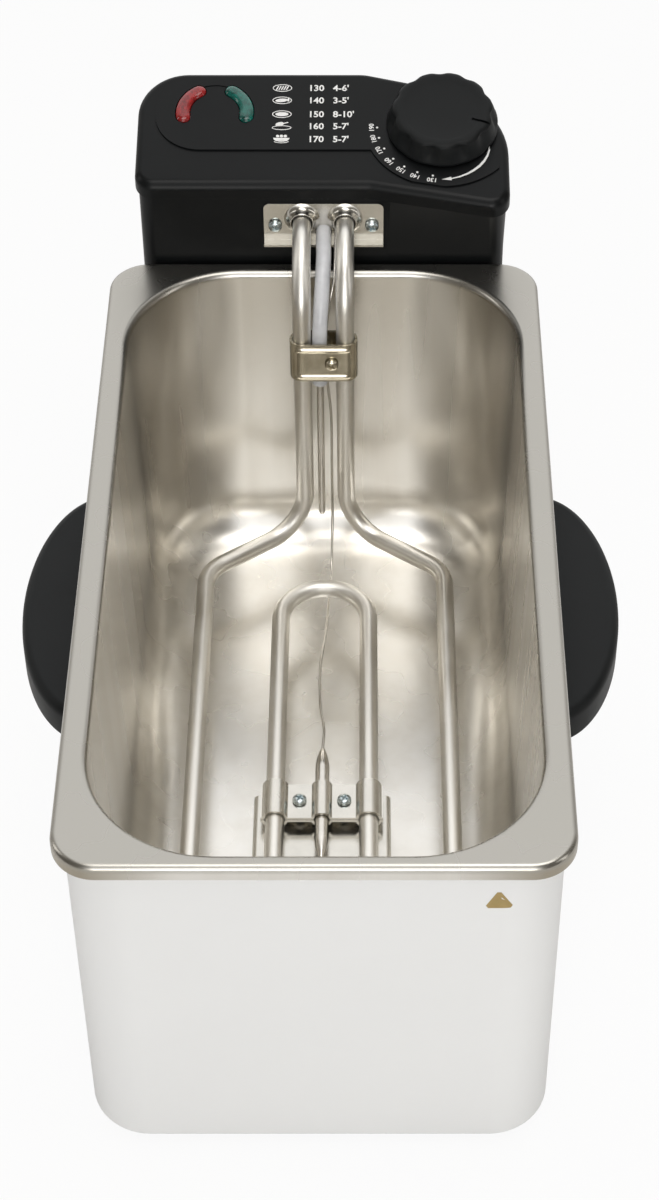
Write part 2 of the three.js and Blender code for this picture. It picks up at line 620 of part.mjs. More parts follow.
// A grip, half an oval seen from above, hollow and open underneath, screwed on from inside the housing.
function handles() {
  const top = RIM_Z - HANDLE_DROP;
  const bottom = top - HANDLE_THICK;
  const moon = (inset, side) => {
    const reach = HANDLE_REACH - inset;
    const half = HANDLE_LENGTH / 2 - inset;
    const limit = Math.acos((inset > HANDLE_EDGE ? HANDLE_WALL : 0) / reach);
    return Array.from({ length: 25 }, (_, i) => {
      const angle = limit * (1 - i / 12);
      const x = HOUSING_HALF_WIDTH + SEAT_GAP + reach * Math.cos(angle);
      return new THREE.Vector2(side * x, HANDLE_ALONG + half * Math.sin(angle));
    });
  };
  for (const [name, side] of SIDES) {
    const outside = skin([
      lift(moon(HANDLE_LOWER_EDGE, side), bottom),
      lift(moon(0, side), bottom + HANDLE_LOWER_EDGE),
      lift(moon(0, side), top - HANDLE_EDGE),
      lift(moon(HANDLE_EDGE * 0.3, side), top - HANDLE_EDGE * 0.3),
      lift(moon(HANDLE_EDGE, side), top),
    ]);
    const hollow = slab(moon(HANDLE_EDGE + 0.5, side), bottom - 1, top - HANDLE_WALL);
    const [bossRadius, bossLength] = HANDLE_BOSS;
    const bosses = [];
    const bores = [];
    for (const y of handleScrewYs()) {
      const at = [side * (HOUSING_HALF_WIDTH + SEAT_GAP), y, handleScrewZ()];
      bosses.push(rod(bossRadius, 0.5, bossLength, at, name, 12));
      bores.push(rod(SCREW_HOLE, -1, HANDLE_SCREW_LENGTH, at, name, 10));
    }
    add(`handle_${name}`, cut(join(cut(outside, hollow), ...bosses), ...bores), BLACK_PLASTIC);
    handleScrewYs().forEach((y, i) => {
      const at = [side * (HOUSING_HALF_WIDTH - HOUSING_SHEET - SEAT_GAP), y, handleScrewZ()];
      screw(`handle_screw_${name}_${i + 1}`, at, name, HANDLE_SCREW_LENGTH);
    });
  }
}

// ---------------------------------------------------------------- what the head hooks on to

// Screws through the housing's rear wall, one for each rail.
const railZs = () => RAIL_DROP.map((drop) => RIM_Z - drop);
const rearScrewPlaces = () => {
  const [high, low] = railZs();
  const railX = RAIL_X - RAIL_FOOT / 2;
  return SIDES.map(([, side]) => [side * railX, (high + low) / 2]);
};
const strikerZ = () => HEAD_BOTTOM_Z - STRIKER_DROP;

function rails() {
  const wall = HOUSING_REAR + SEAT_GAP;
  const [high, low] = railZs();
  const hook = CASE_FRONT + HEAD_WALL + SEAT_GAP;
  const places = rearScrewPlaces();
  SIDES.forEach(([name, side], i) => {
    const across = (from, to) => [Math.min(side * from, side * to), Math.max(side * from, side * to)];
    const inner = RAIL_X - RAIL_SHEET / 2;
    const outer = RAIL_X + RAIL_SHEET / 2;
    const foot = box(...across(inner - RAIL_FOOT, outer), wall, wall + RAIL_SHEET, low, high);
    const web = box(...across(inner, outer), wall, hook + RAIL_SHEET, low, high);
    const lip = box(...across(inner, outer + RAIL_HOOK), hook, hook + RAIL_SHEET, low, high);
    const [x, z] = places[i];
    const bore = rod(SCREW_HOLE, -5, 5, [x, wall, z], "back", 10);
    add(`guide_rail_${name}`, cut(join(foot, web, lip), bore), BRIGHT_STEEL);
    screw(`rail_screw_${name}`, [x, HOUSING_REAR - HOUSING_SHEET - SEAT_GAP, z], "back", RAIL_SCREW_LENGTH);
  });
  const left = STRIKER_X - STRIKER_WIDTH / 2;
  const right = STRIKER_X + STRIKER_WIDTH / 2;
  const foot = box(left, right, wall, wall + SHEET, strikerZ() - STRIKER_HEIGHT, strikerZ());
  const shelf = box(left, right, wall, wall + STRIKER_REACH, strikerZ() - SHEET, strikerZ());
  add("striker_bracket", join(foot, shelf), BRIGHT_STEEL);
}

// ---------------------------------------------------------------- control head

// The head seen from above: `sweep` is how far its right end comes forward.
function headOutline(inset, sweep = HEAD_SWEEP, bendX = HEAD_BEND_X) {
  const flat = Math.cos(PANEL_TILT);
  const [frontLeft, frontRight, rearRight, rearLeft] = HEAD_CORNERS;
  const [frontBend, rearBend] = HEAD_BEND_RADII;
  const right = HEAD_HALF_WIDTH - HEAD_RIGHT_SHORT;
  const corners = [
    [-HEAD_HALF_WIDTH, 0, frontLeft],
    [bendX, 0, frontBend],
    [right, -sweep, frontRight],
    [right, HEAD_DEPTH - HEAD_REAR_FALL, rearRight],
    [HEAD_REAR_BEND_X, HEAD_DEPTH, rearBend],
    [-HEAD_HALF_WIDTH, HEAD_DEPTH, rearLeft],
  ];
  return outline(corners.map(([x, s, radius]) => [x, HEAD_FRONT + s * flat, radius]), inset, 4);
}

// Height of the panel's plane above a point, less a drop.
const underPanel = (drop) => (p) => PANEL_FRONT_Z + (p.y - HEAD_FRONT) * HEAD_SLOPE - drop;

// A curved slot: a band of a circle with round ends, `grow` wider on every side.
function arcBand([cx, cy], [from, to], grow = 0) {
  const middle = (LENS_OUTER + LENS_INNER) / 2;
  const half = (LENS_OUTER - LENS_INNER) / 2 + grow;
  const at = (angle, radius) => [cx + radius * Math.cos(angle), cy + radius * Math.sin(angle)];
  const [a, b] = [from, to].map(THREE.MathUtils.degToRad);
  const points = [];
  for (let i = 0; i <= 8; i++) points.push(at(a + ((b - a) * i) / 8, middle + half));
  for (let i = 1; i < 5; i++) points.push(endPoint(b, (Math.PI * i) / 5));
  for (let i = 8; i >= 0; i--) points.push(at(a + ((b - a) * i) / 8, middle - half));
  for (let i = 1; i < 5; i++) points.push(endPoint(a, Math.PI + (Math.PI * i) / 5));
  return points.map(([x, y]) => new THREE.Vector2(x, y));
  function endPoint(angle, turn) {
    const [x, y] = at(angle, middle);
    return [x + half * Math.cos(angle + turn), y + half * Math.sin(angle + turn)];
  }
}

// The raised field: a rounded bar across the panel that grows into a disc round the dial.
function plateau() {
  const left = PLATEAU_SIDE - HEAD_HALF_WIDTH;
  const rear = HEAD_DEPTH - PLATEAU_REAR;
  const front = rear - PLATEAU_DEPTH;
  const [cx, cy] = DIAL;
  const band = outline([
    [left, front, PLATEAU_CORNER],
    [cx, front, 1],
    [cx, rear, 1],
    [left, rear, PLATEAU_CORNER],
  ]);
  const sides = 40;
  const disc = Array.from({ length: sides }, (_, i) => {
    const angle = (2 * Math.PI * i) / sides;
    return new THREE.Vector2(cx + DIAL_FIELD * Math.cos(angle), cy + DIAL_FIELD * Math.sin(angle));
  });
  const field = join(slab(band, -HEAD_WALL, 0), slab(disc, -HEAD_WALL, 0));
  const keep = skin([lift(headOutline(HEAD_EDGE + 1), RIM_Z), lift(headOutline(HEAD_EDGE + 1), RIM_Z + 90)]);
  return fromPanel(field).intersect(keep);
}

const thermostatScrews = () => [-1, 1].map((side) => [DIAL[0] + (side * THERMOSTAT_SCREW_SPREAD) / 2, DIAL[1]]);
const coverScrewZ = () => underPanel(COVER_SCREW_DROP)(new THREE.Vector2(0, CASE_REAR));
const lampPosts = () => [-1, 1].map((side) => [LAMP_RING[0] + side * (LAMP_BOARD[0] / 2 - 3), LAMP_RING[1]]);

function headCover() {
  const ring = (inset, drop) => lift(headOutline(inset), underPanel(drop));
  const shell = skin([
    ring(HEAD_EDGE + 0.5, HEAD_WALL),
    ring(HEAD_WALL, HEAD_WALL + 1.5),
    ring(HEAD_WALL, COVER_SKIRT),
    ring(0, COVER_SKIRT),
    ...quarter(3).reverse().map((a) => ring(HEAD_EDGE * (1 - Math.cos(a)), HEAD_EDGE * (1 - Math.sin(a)))),
  ]);
  const tabBack = CASE_REAR - HEAD_WALL - SEAT_GAP;
  const tabTop = underPanel(HEAD_WALL / 2)(new THREE.Vector2(0, tabBack - 2));
  const [tabWidth, tabDepth, tabThick] = COVER_TAB;
  const tabs = COVER_TAB_XS.map((x) =>
    box(x - tabWidth / 2, x + tabWidth / 2, tabBack - tabThick, tabBack, tabTop - tabDepth, tabTop));
  const posts = lampPosts().map(([x, y]) =>
    fromPanel(rod(LAMP_POST_RADIUS, -LAMP_BOARD_DEPTH, -PLATEAU_RISE - 1, [x, y, 0], "up", 12)));
  const bores = COVER_TAB_XS.map((x) => rod(SCREW_SHANK + 0.1, -8, 8, [x, tabBack, coverScrewZ()], "back", 10));
  bores.push(...lampPosts().map(([x, y]) =>
    fromPanel(rod(SCREW_SHANK + 0.1, -LAMP_BOARD_DEPTH - 1, -LAMP_BOARD_DEPTH + 6, [x, y, 0], "up", 10))));
  bores.push(fromPanel(rod(BUSH_RADIUS + SEAT_GAP, -9, 3, [...DIAL, 0], "up", 20)));
  bores.push(...thermostatScrews().map(([x, y]) => fromPanel(rod(SCREW_HOLE, -9, 3, [x, y, 0], "up", 10))));
  for (const arc of [RED_ARC, GREEN_ARC]) {
    bores.push(fromPanel(slab(arcBand(LAMP_RING, arc, SEAT_GAP), -9, 3)));
  }
  bores.push(fromPanel(rod(LENS_OUTER - 1.2, -0.5, 3, [...LAMP_RING, 0], "up", 40)));
  add("head_cover", cut(join(shell, plateau(), ...tabs, ...posts), ...bores), BLACK_PLASTIC);
  COVER_TAB_XS.forEach((x, i) => {
    screw(`cover_screw_${i + 1}`, [x, CASE_REAR + SEAT_GAP, coverScrewZ()], "front", COVER_SCREW_LENGTH);
  });
}

function headCase() {
  const top = COVER_SKIRT + SEAT_GAP;
  const bottom = HEAD_BOTTOM_Z;
  const inside = COVER_PROUD + HEAD_WALL;
  const straight = (inset, z) => lift(headOutline(inset, HEAD_LOW_SWEEP, HEAD_LOW_BEND_X), z);
  const bracketTop = RIM_Z + BRACKET_OVER_RIM + BRACKET_HEIGHT;
  const share = (bracketTop - RIM_Z) / (HEAD_RISE - top);
  const flared = (inset) => lift(headOutline(inset, HEAD_SWEEP * share, HEAD_LOW_BEND_X), bracketTop);
  const shell = skin([
    straight(inside + CASE_EDGE, bottom + HEAD_WALL),
    straight(inside, bottom + HEAD_WALL + CASE_EDGE),
    straight(inside, RIM_Z + 4),
    flared(inside),
    lift(headOutline(inside), underPanel(top)),
    lift(headOutline(COVER_PROUD), underPanel(top)),
    flared(COVER_PROUD),
    straight(COVER_PROUD, RIM_Z + 4),
    straight(COVER_PROUD, bottom + CASE_EDGE),
    straight(COVER_PROUD + CASE_EDGE * 0.3, bottom + CASE_EDGE * 0.3),
    straight(COVER_PROUD + CASE_EDGE, bottom),
  ]);
  const tools = [];
  const front = (radius, x, z) => rod(radius, -8, 8, [x, CASE_FRONT, z], "back", 20);
  const back = (radius, x, z) => rod(radius, -8, 8, [x, CASE_REAR, z], "back", 20);
  for (const [, side] of SIDES) {
    tools.push(front(TUBE_HOLE, side * TUBE_SPREAD, TUBE_TOP_Z));
    tools.push(front(SCREW_SHANK + 0.1, (side * BRACKET_SCREW_SPREAD) / 2, RIM_Z + BRACKET_SCREW_OVER_RIM));
    const [high] = railZs();
    const half = RAIL_SHEET / 2 + SLIDE_GAP;
    const hookEnd = RAIL_X + RAIL_SHEET / 2 + RAIL_HOOK + SLIDE_GAP;
    const slot = [side * (RAIL_X - half), side * (RAIL_X + half)].sort((a, b) => a - b);
    const mouth = [side * (RAIL_X - half), side * hookEnd].sort((a, b) => a - b);
    tools.push(box(...slot, CASE_FRONT - 3, CASE_FRONT + HEAD_WALL + 3, bottom - 1, high + SEAT_GAP));
    const behind = CASE_FRONT + HEAD_WALL - 0.5;
    tools.push(box(...mouth, behind, behind + RAIL_SHEET + 2.5, bottom - 1, bottom + HEAD_WALL + CASE_EDGE));
  }
  tools.push(front(SLEEVE_RADIUS + SEAT_GAP, 0, RIM_Z + SLEEVE_OVER_RIM));
  tools.push(front(CAPILLARY_RADIUS + SEAT_GAP, CAPILLARY_X, RIM_Z + CAPILLARY_OVER_RIM));
  tools.push(...COVER_TAB_XS.map((x) => back(SCREW_HOLE, x, coverScrewZ())));
  tools.push(back(BUTTON_RADIUS + SLIDE_GAP / 2, CUTOUT_X, bottom + CUTOUT_OVER_BOTTOM));
  tools.push(back(GLAND_RADIUS + SEAT_GAP, -GLAND_X, bottom + GLAND_OVER_BOTTOM));
  tools.push(rod(PLUNGER_RADIUS + SLIDE_GAP / 2, -3, 6, [STRIKER_X, plungerY(), bottom], "up", 16));
  add("head_case", cut(shell, ...tools), BLACK_PLASTIC);
}

const plungerY = () => CASE_FRONT + HEAD_WALL + CASE_EDGE + SWITCH[1] / 2 + 0.7;

function lamps() {
  const underWall = -PLATEAU_RISE - HEAD_WALL - SEAT_GAP;
  const boardTop = -LAMP_BOARD_DEPTH - SEAT_GAP;
  for (const [name, arc, material] of [["red", RED_ARC, RED_LENS], ["green", GREEN_ARC, GREEN_LENS]]) {
    const shape = new THREE.Shape(arcBand(LAMP_RING, arc, -LENS_BEVEL));
    const bevelled = new THREE.ExtrudeGeometry(shape, {
      depth: LENS_PROUD - underWall - LENS_BEVEL,
      bevelSize: LENS_BEVEL,
      bevelThickness: LENS_BEVEL,
      bevelSegments: 2,
    });
    const lens = solid(bevelled.translate(0, 0, underWall));
    const under = underWall - LENS_SHOULDER;
    const shoulder = slab(arcBand(LAMP_RING, arc, LENS_LIP), under, underWall);
    const trim = slab(arcBand(LAMP_RING, arc, LENS_LIP + 3), under - 3, under);
    add(`lens_${name}`, cut(join(lens, shoulder), trim), material, panel);
    const middle = THREE.MathUtils.degToRad((arc[0] + arc[1]) / 2);
    const radius = (LENS_OUTER + LENS_INNER) / 2;
    const at = [LAMP_RING[0] + radius * Math.cos(middle), LAMP_RING[1] + radius * Math.sin(middle), boardTop];
    const profile = [[LAMP_RADIUS, SEAT_GAP], [LAMP_RADIUS, LAMP_LENGTH - 2], [LAMP_RADIUS * 0.5, LAMP_LENGTH]];
    add(`lamp_${name}`, turned(profile, at, "up", 12), CERAMIC, panel);
  }
  const [width, depth, thick] = LAMP_BOARD;
  const [x, y] = LAMP_RING;
  const board = box(x - width / 2, x + width / 2, y - depth / 2, y + depth / 2, boardTop - thick, boardTop);
  const bores = lampPosts().map(([px, py]) => rod(SCREW_HOLE, -9, 9, [px, py, boardTop], "up", 10));
  add("lamp_board", cut(board, ...bores), BAKELITE, panel);
  lampPosts().forEach(([px, py], i) => {
    screw(`lamp_board_screw_${i + 1}`, [px, py, boardTop - thick - SEAT_GAP], "up", ...LAMP_BOARD_SCREW, panel);
  });
}

// ---------------------------------------------------------------- thermostat and knob

function thermostat() {
  const [width, height, depth] = THERMOSTAT;
  const top = -PLATEAU_RISE - HEAD_WALL - SEAT_GAP;
  const [x, y] = DIAL;
  const [shiftX, shiftY] = THERMOSTAT_SHIFT;
  const corners = rectangle(width / 2, y + shiftY - height / 2, y + shiftY + height / 2, 2);
  const block = outline(corners.map(([px, py, radius]) => [x + shiftX + px, py, radius]), 0, 2);
  const bush = rod(BUSH_RADIUS, top - 1, 0.4, [x, y, 0], "up", 20);
  const bore = rod(SHAFT_RADIUS + SHAFT_PLAY, top - 8, 3, [x, y, 0], "up", 20);
  const taps = thermostatScrews().map(([sx, sy]) => rod(SCREW_SHANK + 0.1, top - 5, 1, [sx, sy, 0], "up", 10));
  add("thermostat_body", cut(join(slab(block, top - depth, top), bush), bore, ...taps), BRIGHT_STEEL, panel);
  thermostatScrews().forEach(([sx, sy], i) => {
    screw(`thermostat_screw_${i + 1}`, [sx, sy, SEAT_GAP], "down", THERMOSTAT_SCREW_LENGTH, SCREW_HEAD_RADIUS, panel);
  });
  const shaft = rod(SHAFT_RADIUS, top - 7, KNOB_HEIGHT - SHAFT_SHORT, [x, y, 0], "up", 20);
  const [flatX, flatZ] = SHAFT_FLAT;
  const flat = box(x + flatX, x + 5, y - 5, y + 5, flatZ, KNOB_HEIGHT);
  add("thermostat_shaft", cut(shaft, flat), BRIGHT_STEEL, panel);
}

function knob() {
  const [x, y] = DIAL;
  const bottom = KNOB_LIFT;
  const scallop = (radius, depth, z) =>
    Array.from({ length: KNOB_LOBES * 4 }, (_, i) => {
      const angle = (2 * Math.PI * i) / (KNOB_LOBES * 4);
      const r = radius - (depth * (1 - Math.cos(KNOB_LOBES * angle))) / 2;
      const turn = angle + KNOB_OFF_ANGLE;
      return new THREE.Vector3(x + r * Math.cos(turn), y + r * Math.sin(turn), z);
    });
  const outside = skin([
    scallop(KNOB_RADIUS - 0.6, 0.3, bottom),
    scallop(KNOB_RADIUS, 0.3, bottom + 1),
    scallop(KNOB_RADIUS - 0.8, KNOB_SCALLOP, KNOB_HEIGHT * 0.45),
    scallop(KNOB_TOP_RADIUS + 1, KNOB_SCALLOP, KNOB_HEIGHT - 1.8),
    scallop(KNOB_TOP_RADIUS, KNOB_SCALLOP, KNOB_HEIGHT - 0.5),
    scallop(KNOB_TOP_RADIUS - 1.6, KNOB_SCALLOP * 0.5, KNOB_HEIGHT),
  ]);
  const roof = KNOB_HEIGHT - KNOB_WALL;
  const hollow = rod(KNOB_TOP_RADIUS - KNOB_WALL, bottom - 1, roof, [x, y, 0], "up", 40);
  const hub = rod(KNOB_HUB, bottom + 0.4, roof + 0.5, [x, y, 0], "up", 24);
  const [flatX, flatZ] = SHAFT_FLAT.map((v) => v + SEAT_GAP);
  const shaftHole = join(
    rod(SHAFT_RADIUS + SEAT_GAP, bottom - 1, flatZ, [x, y, 0], "up", 20),
    cut(
      rod(SHAFT_RADIUS + SEAT_GAP, 1, KNOB_HEIGHT - SHAFT_SHORT + SEAT_GAP, [x, y, 0], "up", 20),
      box(x + flatX, x + 6, y - 6, y + 6, flatZ, KNOB_HEIGHT),
    ),
  );
  const [wide, deep, long] = KNOB_NOTCH;
  const notch = box(KNOB_TOP_RADIUS - long, KNOB_RADIUS + 2, -wide / 2, wide / 2, KNOB_HEIGHT - deep, KNOB_HEIGHT + 2);
  const pointer = solid(geometryOf(notch).rotateZ(KNOB_OFF_ANGLE).translate(x, y, 0));
  add("knob", cut(join(cut(outside, hollow), hub), shaftHole, pointer), BLACK_PLASTIC, panel);
}

// ---------------------------------------------------------------- heating element

function elementStops() {
  const bottomY = OPENING_FRONT + POT_TAPER + ELEMENT_FRONT;
  const turnRadius = (OUTER_LEG - INNER_LEG) / 2 - 0.01;
  const crown = NECK_Y - LOOP_BACK;
  const right = [
    [INNER_LEG, crown, ELEMENT_Z, INNER_LEG - 0.01],
    [INNER_LEG, bottomY, ELEMENT_Z, turnRadius],
    [OUTER_LEG, bottomY, ELEMENT_Z, turnRadius],
    [OUTER_LEG, NECK_Y - SHOULDER_BACK, ELEMENT_Z, SHOULDER_BEND],
    [TUBE_SPREAD, NECK_Y, ELEMENT_Z, FOOT_BEND],
    [TUBE_SPREAD, NECK_Y, TUBE_TOP_Z, NECK_BEND],
    [TUBE_SPREAD, CASE_FRONT + TUBE_INTO_HEAD, TUBE_TOP_Z, 0],
  ];
  const left = right.map(([x, y, z, radius]) => [-x, y, z, radius]).reverse();
  return [...left, ...right];
}

function element() {
  const tube = bentBar(elementStops(), TUBE_RADIUS, 10, 5);
  const end = CASE_FRONT + TUBE_INTO_HEAD;
  const [pin, length] = TERMINAL_PIN;
  const pins = SIDES.map(([, side]) =>
    rod(pin, end - 1, end + length, [side * TUBE_SPREAD, 0, TUBE_TOP_Z], "back", 8));
  add("heating_element", join(tube, ...pins), STAINLESS);
}

// A pressed plate on the head's front, with a collar round each tube and its lower edge turned forward.
function bracket() {
  const back = CASE_FRONT - SEAT_GAP;
  const front = back - SHEET;
  const half = BRACKET_WIDTH / 2;
  const low = RIM_Z + BRACKET_OVER_RIM;
  const plate = outline(rectangle(half, low, low + BRACKET_HEIGHT, BRACKET_CORNER), 0, 2);
  const standing = geometryOf(slab(plate, 0, SHEET)).rotateX(Math.PI / 2).translate(0, back, 0);
  const lip = box(-half, half, front - BRACKET_LIP, front + 0.4, low, low + SHEET);
  const [base, mouth, length] = COLLAR;
  const collar = [[base, -0.4], [mouth, length * 0.6], [mouth, length]];
  const collars = SIDES.map(([, side]) => turned(collar, [side * TUBE_SPREAD, front, TUBE_TOP_Z], "front", 24));
  const holes = SIDES.flatMap(([, side]) => [
    rod(TUBE_HOLE, -4, 9, [side * TUBE_SPREAD, front, TUBE_TOP_Z], "front", 24),
    rod(SCREW_HOLE, -4, 9, [(side * BRACKET_SCREW_SPREAD) / 2, front, RIM_Z + BRACKET_SCREW_OVER_RIM], "front", 12),
  ]);
  holes.push(rod(SLEEVE_RADIUS + SEAT_GAP, -4, 9, [0, front, RIM_Z + SLEEVE_OVER_RIM], "front", 16));
  holes.push(rod(CAPILLARY_RADIUS + SEAT_GAP, -4, 9, [CAPILLARY_X, front, RIM_Z + CAPILLARY_OVER_RIM], "front", 8));
  add("element_bracket", cut(join(solid(standing), lip, ...collars), ...holes), BRIGHT_STEEL);
  SIDES.forEach(([name, side]) => {
    const at = [(side * BRACKET_SCREW_SPREAD) / 2, front - SEAT_GAP, RIM_Z + BRACKET_SCREW_OVER_RIM];
    screw(`bracket_screw_${name}`, at, "back", BRACKET_SCREW_LENGTH);
  });
}

// Two pressed halves that close round the hanging tubes.
function neckClamp() {
  const top = RIM_Z - NECK_CLAMP_DROP;
  const low = top - NECK_CLAMP_HEIGHT;
  const track = (radius) => outline([
    [TUBE_SPREAD + radius, NECK_Y - radius, radius - 0.01],
    [TUBE_SPREAD + radius, NECK_Y + radius, radius - 0.01],
    [-TUBE_SPREAD - radius, NECK_Y + radius, radius - 0.01],
    [-TUBE_SPREAD - radius, NECK_Y - radius, radius - 0.01],
  ], 0, 5);
  const band = slab(track(TUBE_HOLE + SHEET), low, top, [track(TUBE_HOLE)]);
  const front = NECK_Y - TUBE_HOLE - SHEET;
  const [ridgeHeight, relief, edge] = NECK_RIDGE;
  const ridges = [low + edge, top - edge].map((z) =>
    box(-TUBE_SPREAD - 2, TUBE_SPREAD + 2, front - relief, front + 0.3, z - ridgeHeight / 2, z + ridgeHeight / 2));
  const bore = rod(SCREW_HOLE, -20, 20, [NECK_SCREW_X, NECK_Y, (top + low) / 2], "back", 12);
  const half = (y0, y1) => box(-40, 40, y0, y1, low - 5, top + 5);
  const split = SEAT_GAP / 2;
  const frontHalf = join(band.intersect(half(NECK_Y - 20, NECK_Y - split)), ...ridges);
  add("neck_clamp_front", cut(frontHalf, bore), BRIGHT_STEEL);
  add("neck_clamp_back", cut(band.intersect(half(NECK_Y + split, NECK_Y + 20)), bore), BRIGHT_STEEL);
  const at = [NECK_SCREW_X, front - SEAT_GAP, (top + low) / 2];
  screw("neck_clamp_screw", at, "back", 2 * (TUBE_HOLE + SHEET) + 2);
}

// The upper and lower straps that hold the thermostat's bulb between the inner legs, and the support under them.
function bulbClamp() {
  const y0 = BULB_Y - BULB_CLAMP_LENGTH / 2;
  const y1 = BULB_Y + BULB_CLAMP_LENGTH / 2;
  const reach = INNER_LEG + STRAP_PAST_LEG;
  const flat = (z0, z1) => box(-reach, reach, y0, y1, z0, z1);
  const along = (radius, x, grow = 0) =>
    rod(radius + grow, y0 - (grow ? 0 : 1), y1 + (grow ? 0 : 1), [x, 0, ELEMENT_Z], "back", 20);
  const seats = [[TUBE_HOLE, -INNER_LEG], [TUBE_HOLE, INNER_LEG], [BULB_RADIUS + SEAT_GAP, 0]];
  const arches = seats.map(([radius, x]) => along(radius, x, SHEET));
  const bores = seats.map(([radius, x]) => along(radius, x));
  const screwXs = [-BULB_SCREW_SPREAD / 2, BULB_SCREW_SPREAD / 2];
  bores.push(...screwXs.map((x) => rod(SCREW_HOLE, -20, 20, [x, BULB_Y, ELEMENT_Z], "up", 12)));
  const half = (z0, z1) => box(-60, 60, y0 - 1, y1 + 1, z0, z1);
  const split = SEAT_GAP / 2;
  const upper = join(flat(ELEMENT_Z + split, ELEMENT_Z + split + SHEET), ...arches);
  const lower = join(flat(ELEMENT_Z - split - SHEET, ELEMENT_Z - split), ...arches);
  add("bulb_clamp_top", cut(upper.intersect(half(ELEMENT_Z + split, ELEMENT_Z + 20)), ...bores), BRIGHT_STEEL);
  add("bulb_clamp_bottom", cut(lower.intersect(half(ELEMENT_Z - 20, ELEMENT_Z - split)), ...bores), BRIGHT_STEEL);
  const shelf = ELEMENT_Z - TUBE_HOLE - SHEET - SEAT_GAP;
  const floor = POT_FLOOR_Z + POT_SHEET + SEAT_GAP;
  const ahead = y1 - SUPPORT_LENGTH;
  const plate = box(-SUPPORT_HALF_WIDTH, SUPPORT_HALF_WIDTH, ahead, y1, shelf - SHEET, shelf);
  const legs = SIDES.map(([, side]) => {
    const ends = [side * SUPPORT_HALF_WIDTH, side * (SUPPORT_HALF_WIDTH - SHEET)].sort((a, b) => a - b);
    return box(...ends, ahead, y1, floor, shelf);
  });
  add("element_support", cut(join(plate, ...legs), ...bores.slice(3)), BRIGHT_STEEL);
  screwXs.forEach((x, i) => {
    const at = [x, BULB_Y, ELEMENT_Z + split + SHEET + SEAT_GAP];
    screw(`bulb_clamp_screw_${i + 1}`, at, "down", at[2] - shelf + SHEET + 1.5);
  });
}

// ---------------------------------------------------------------- sensors

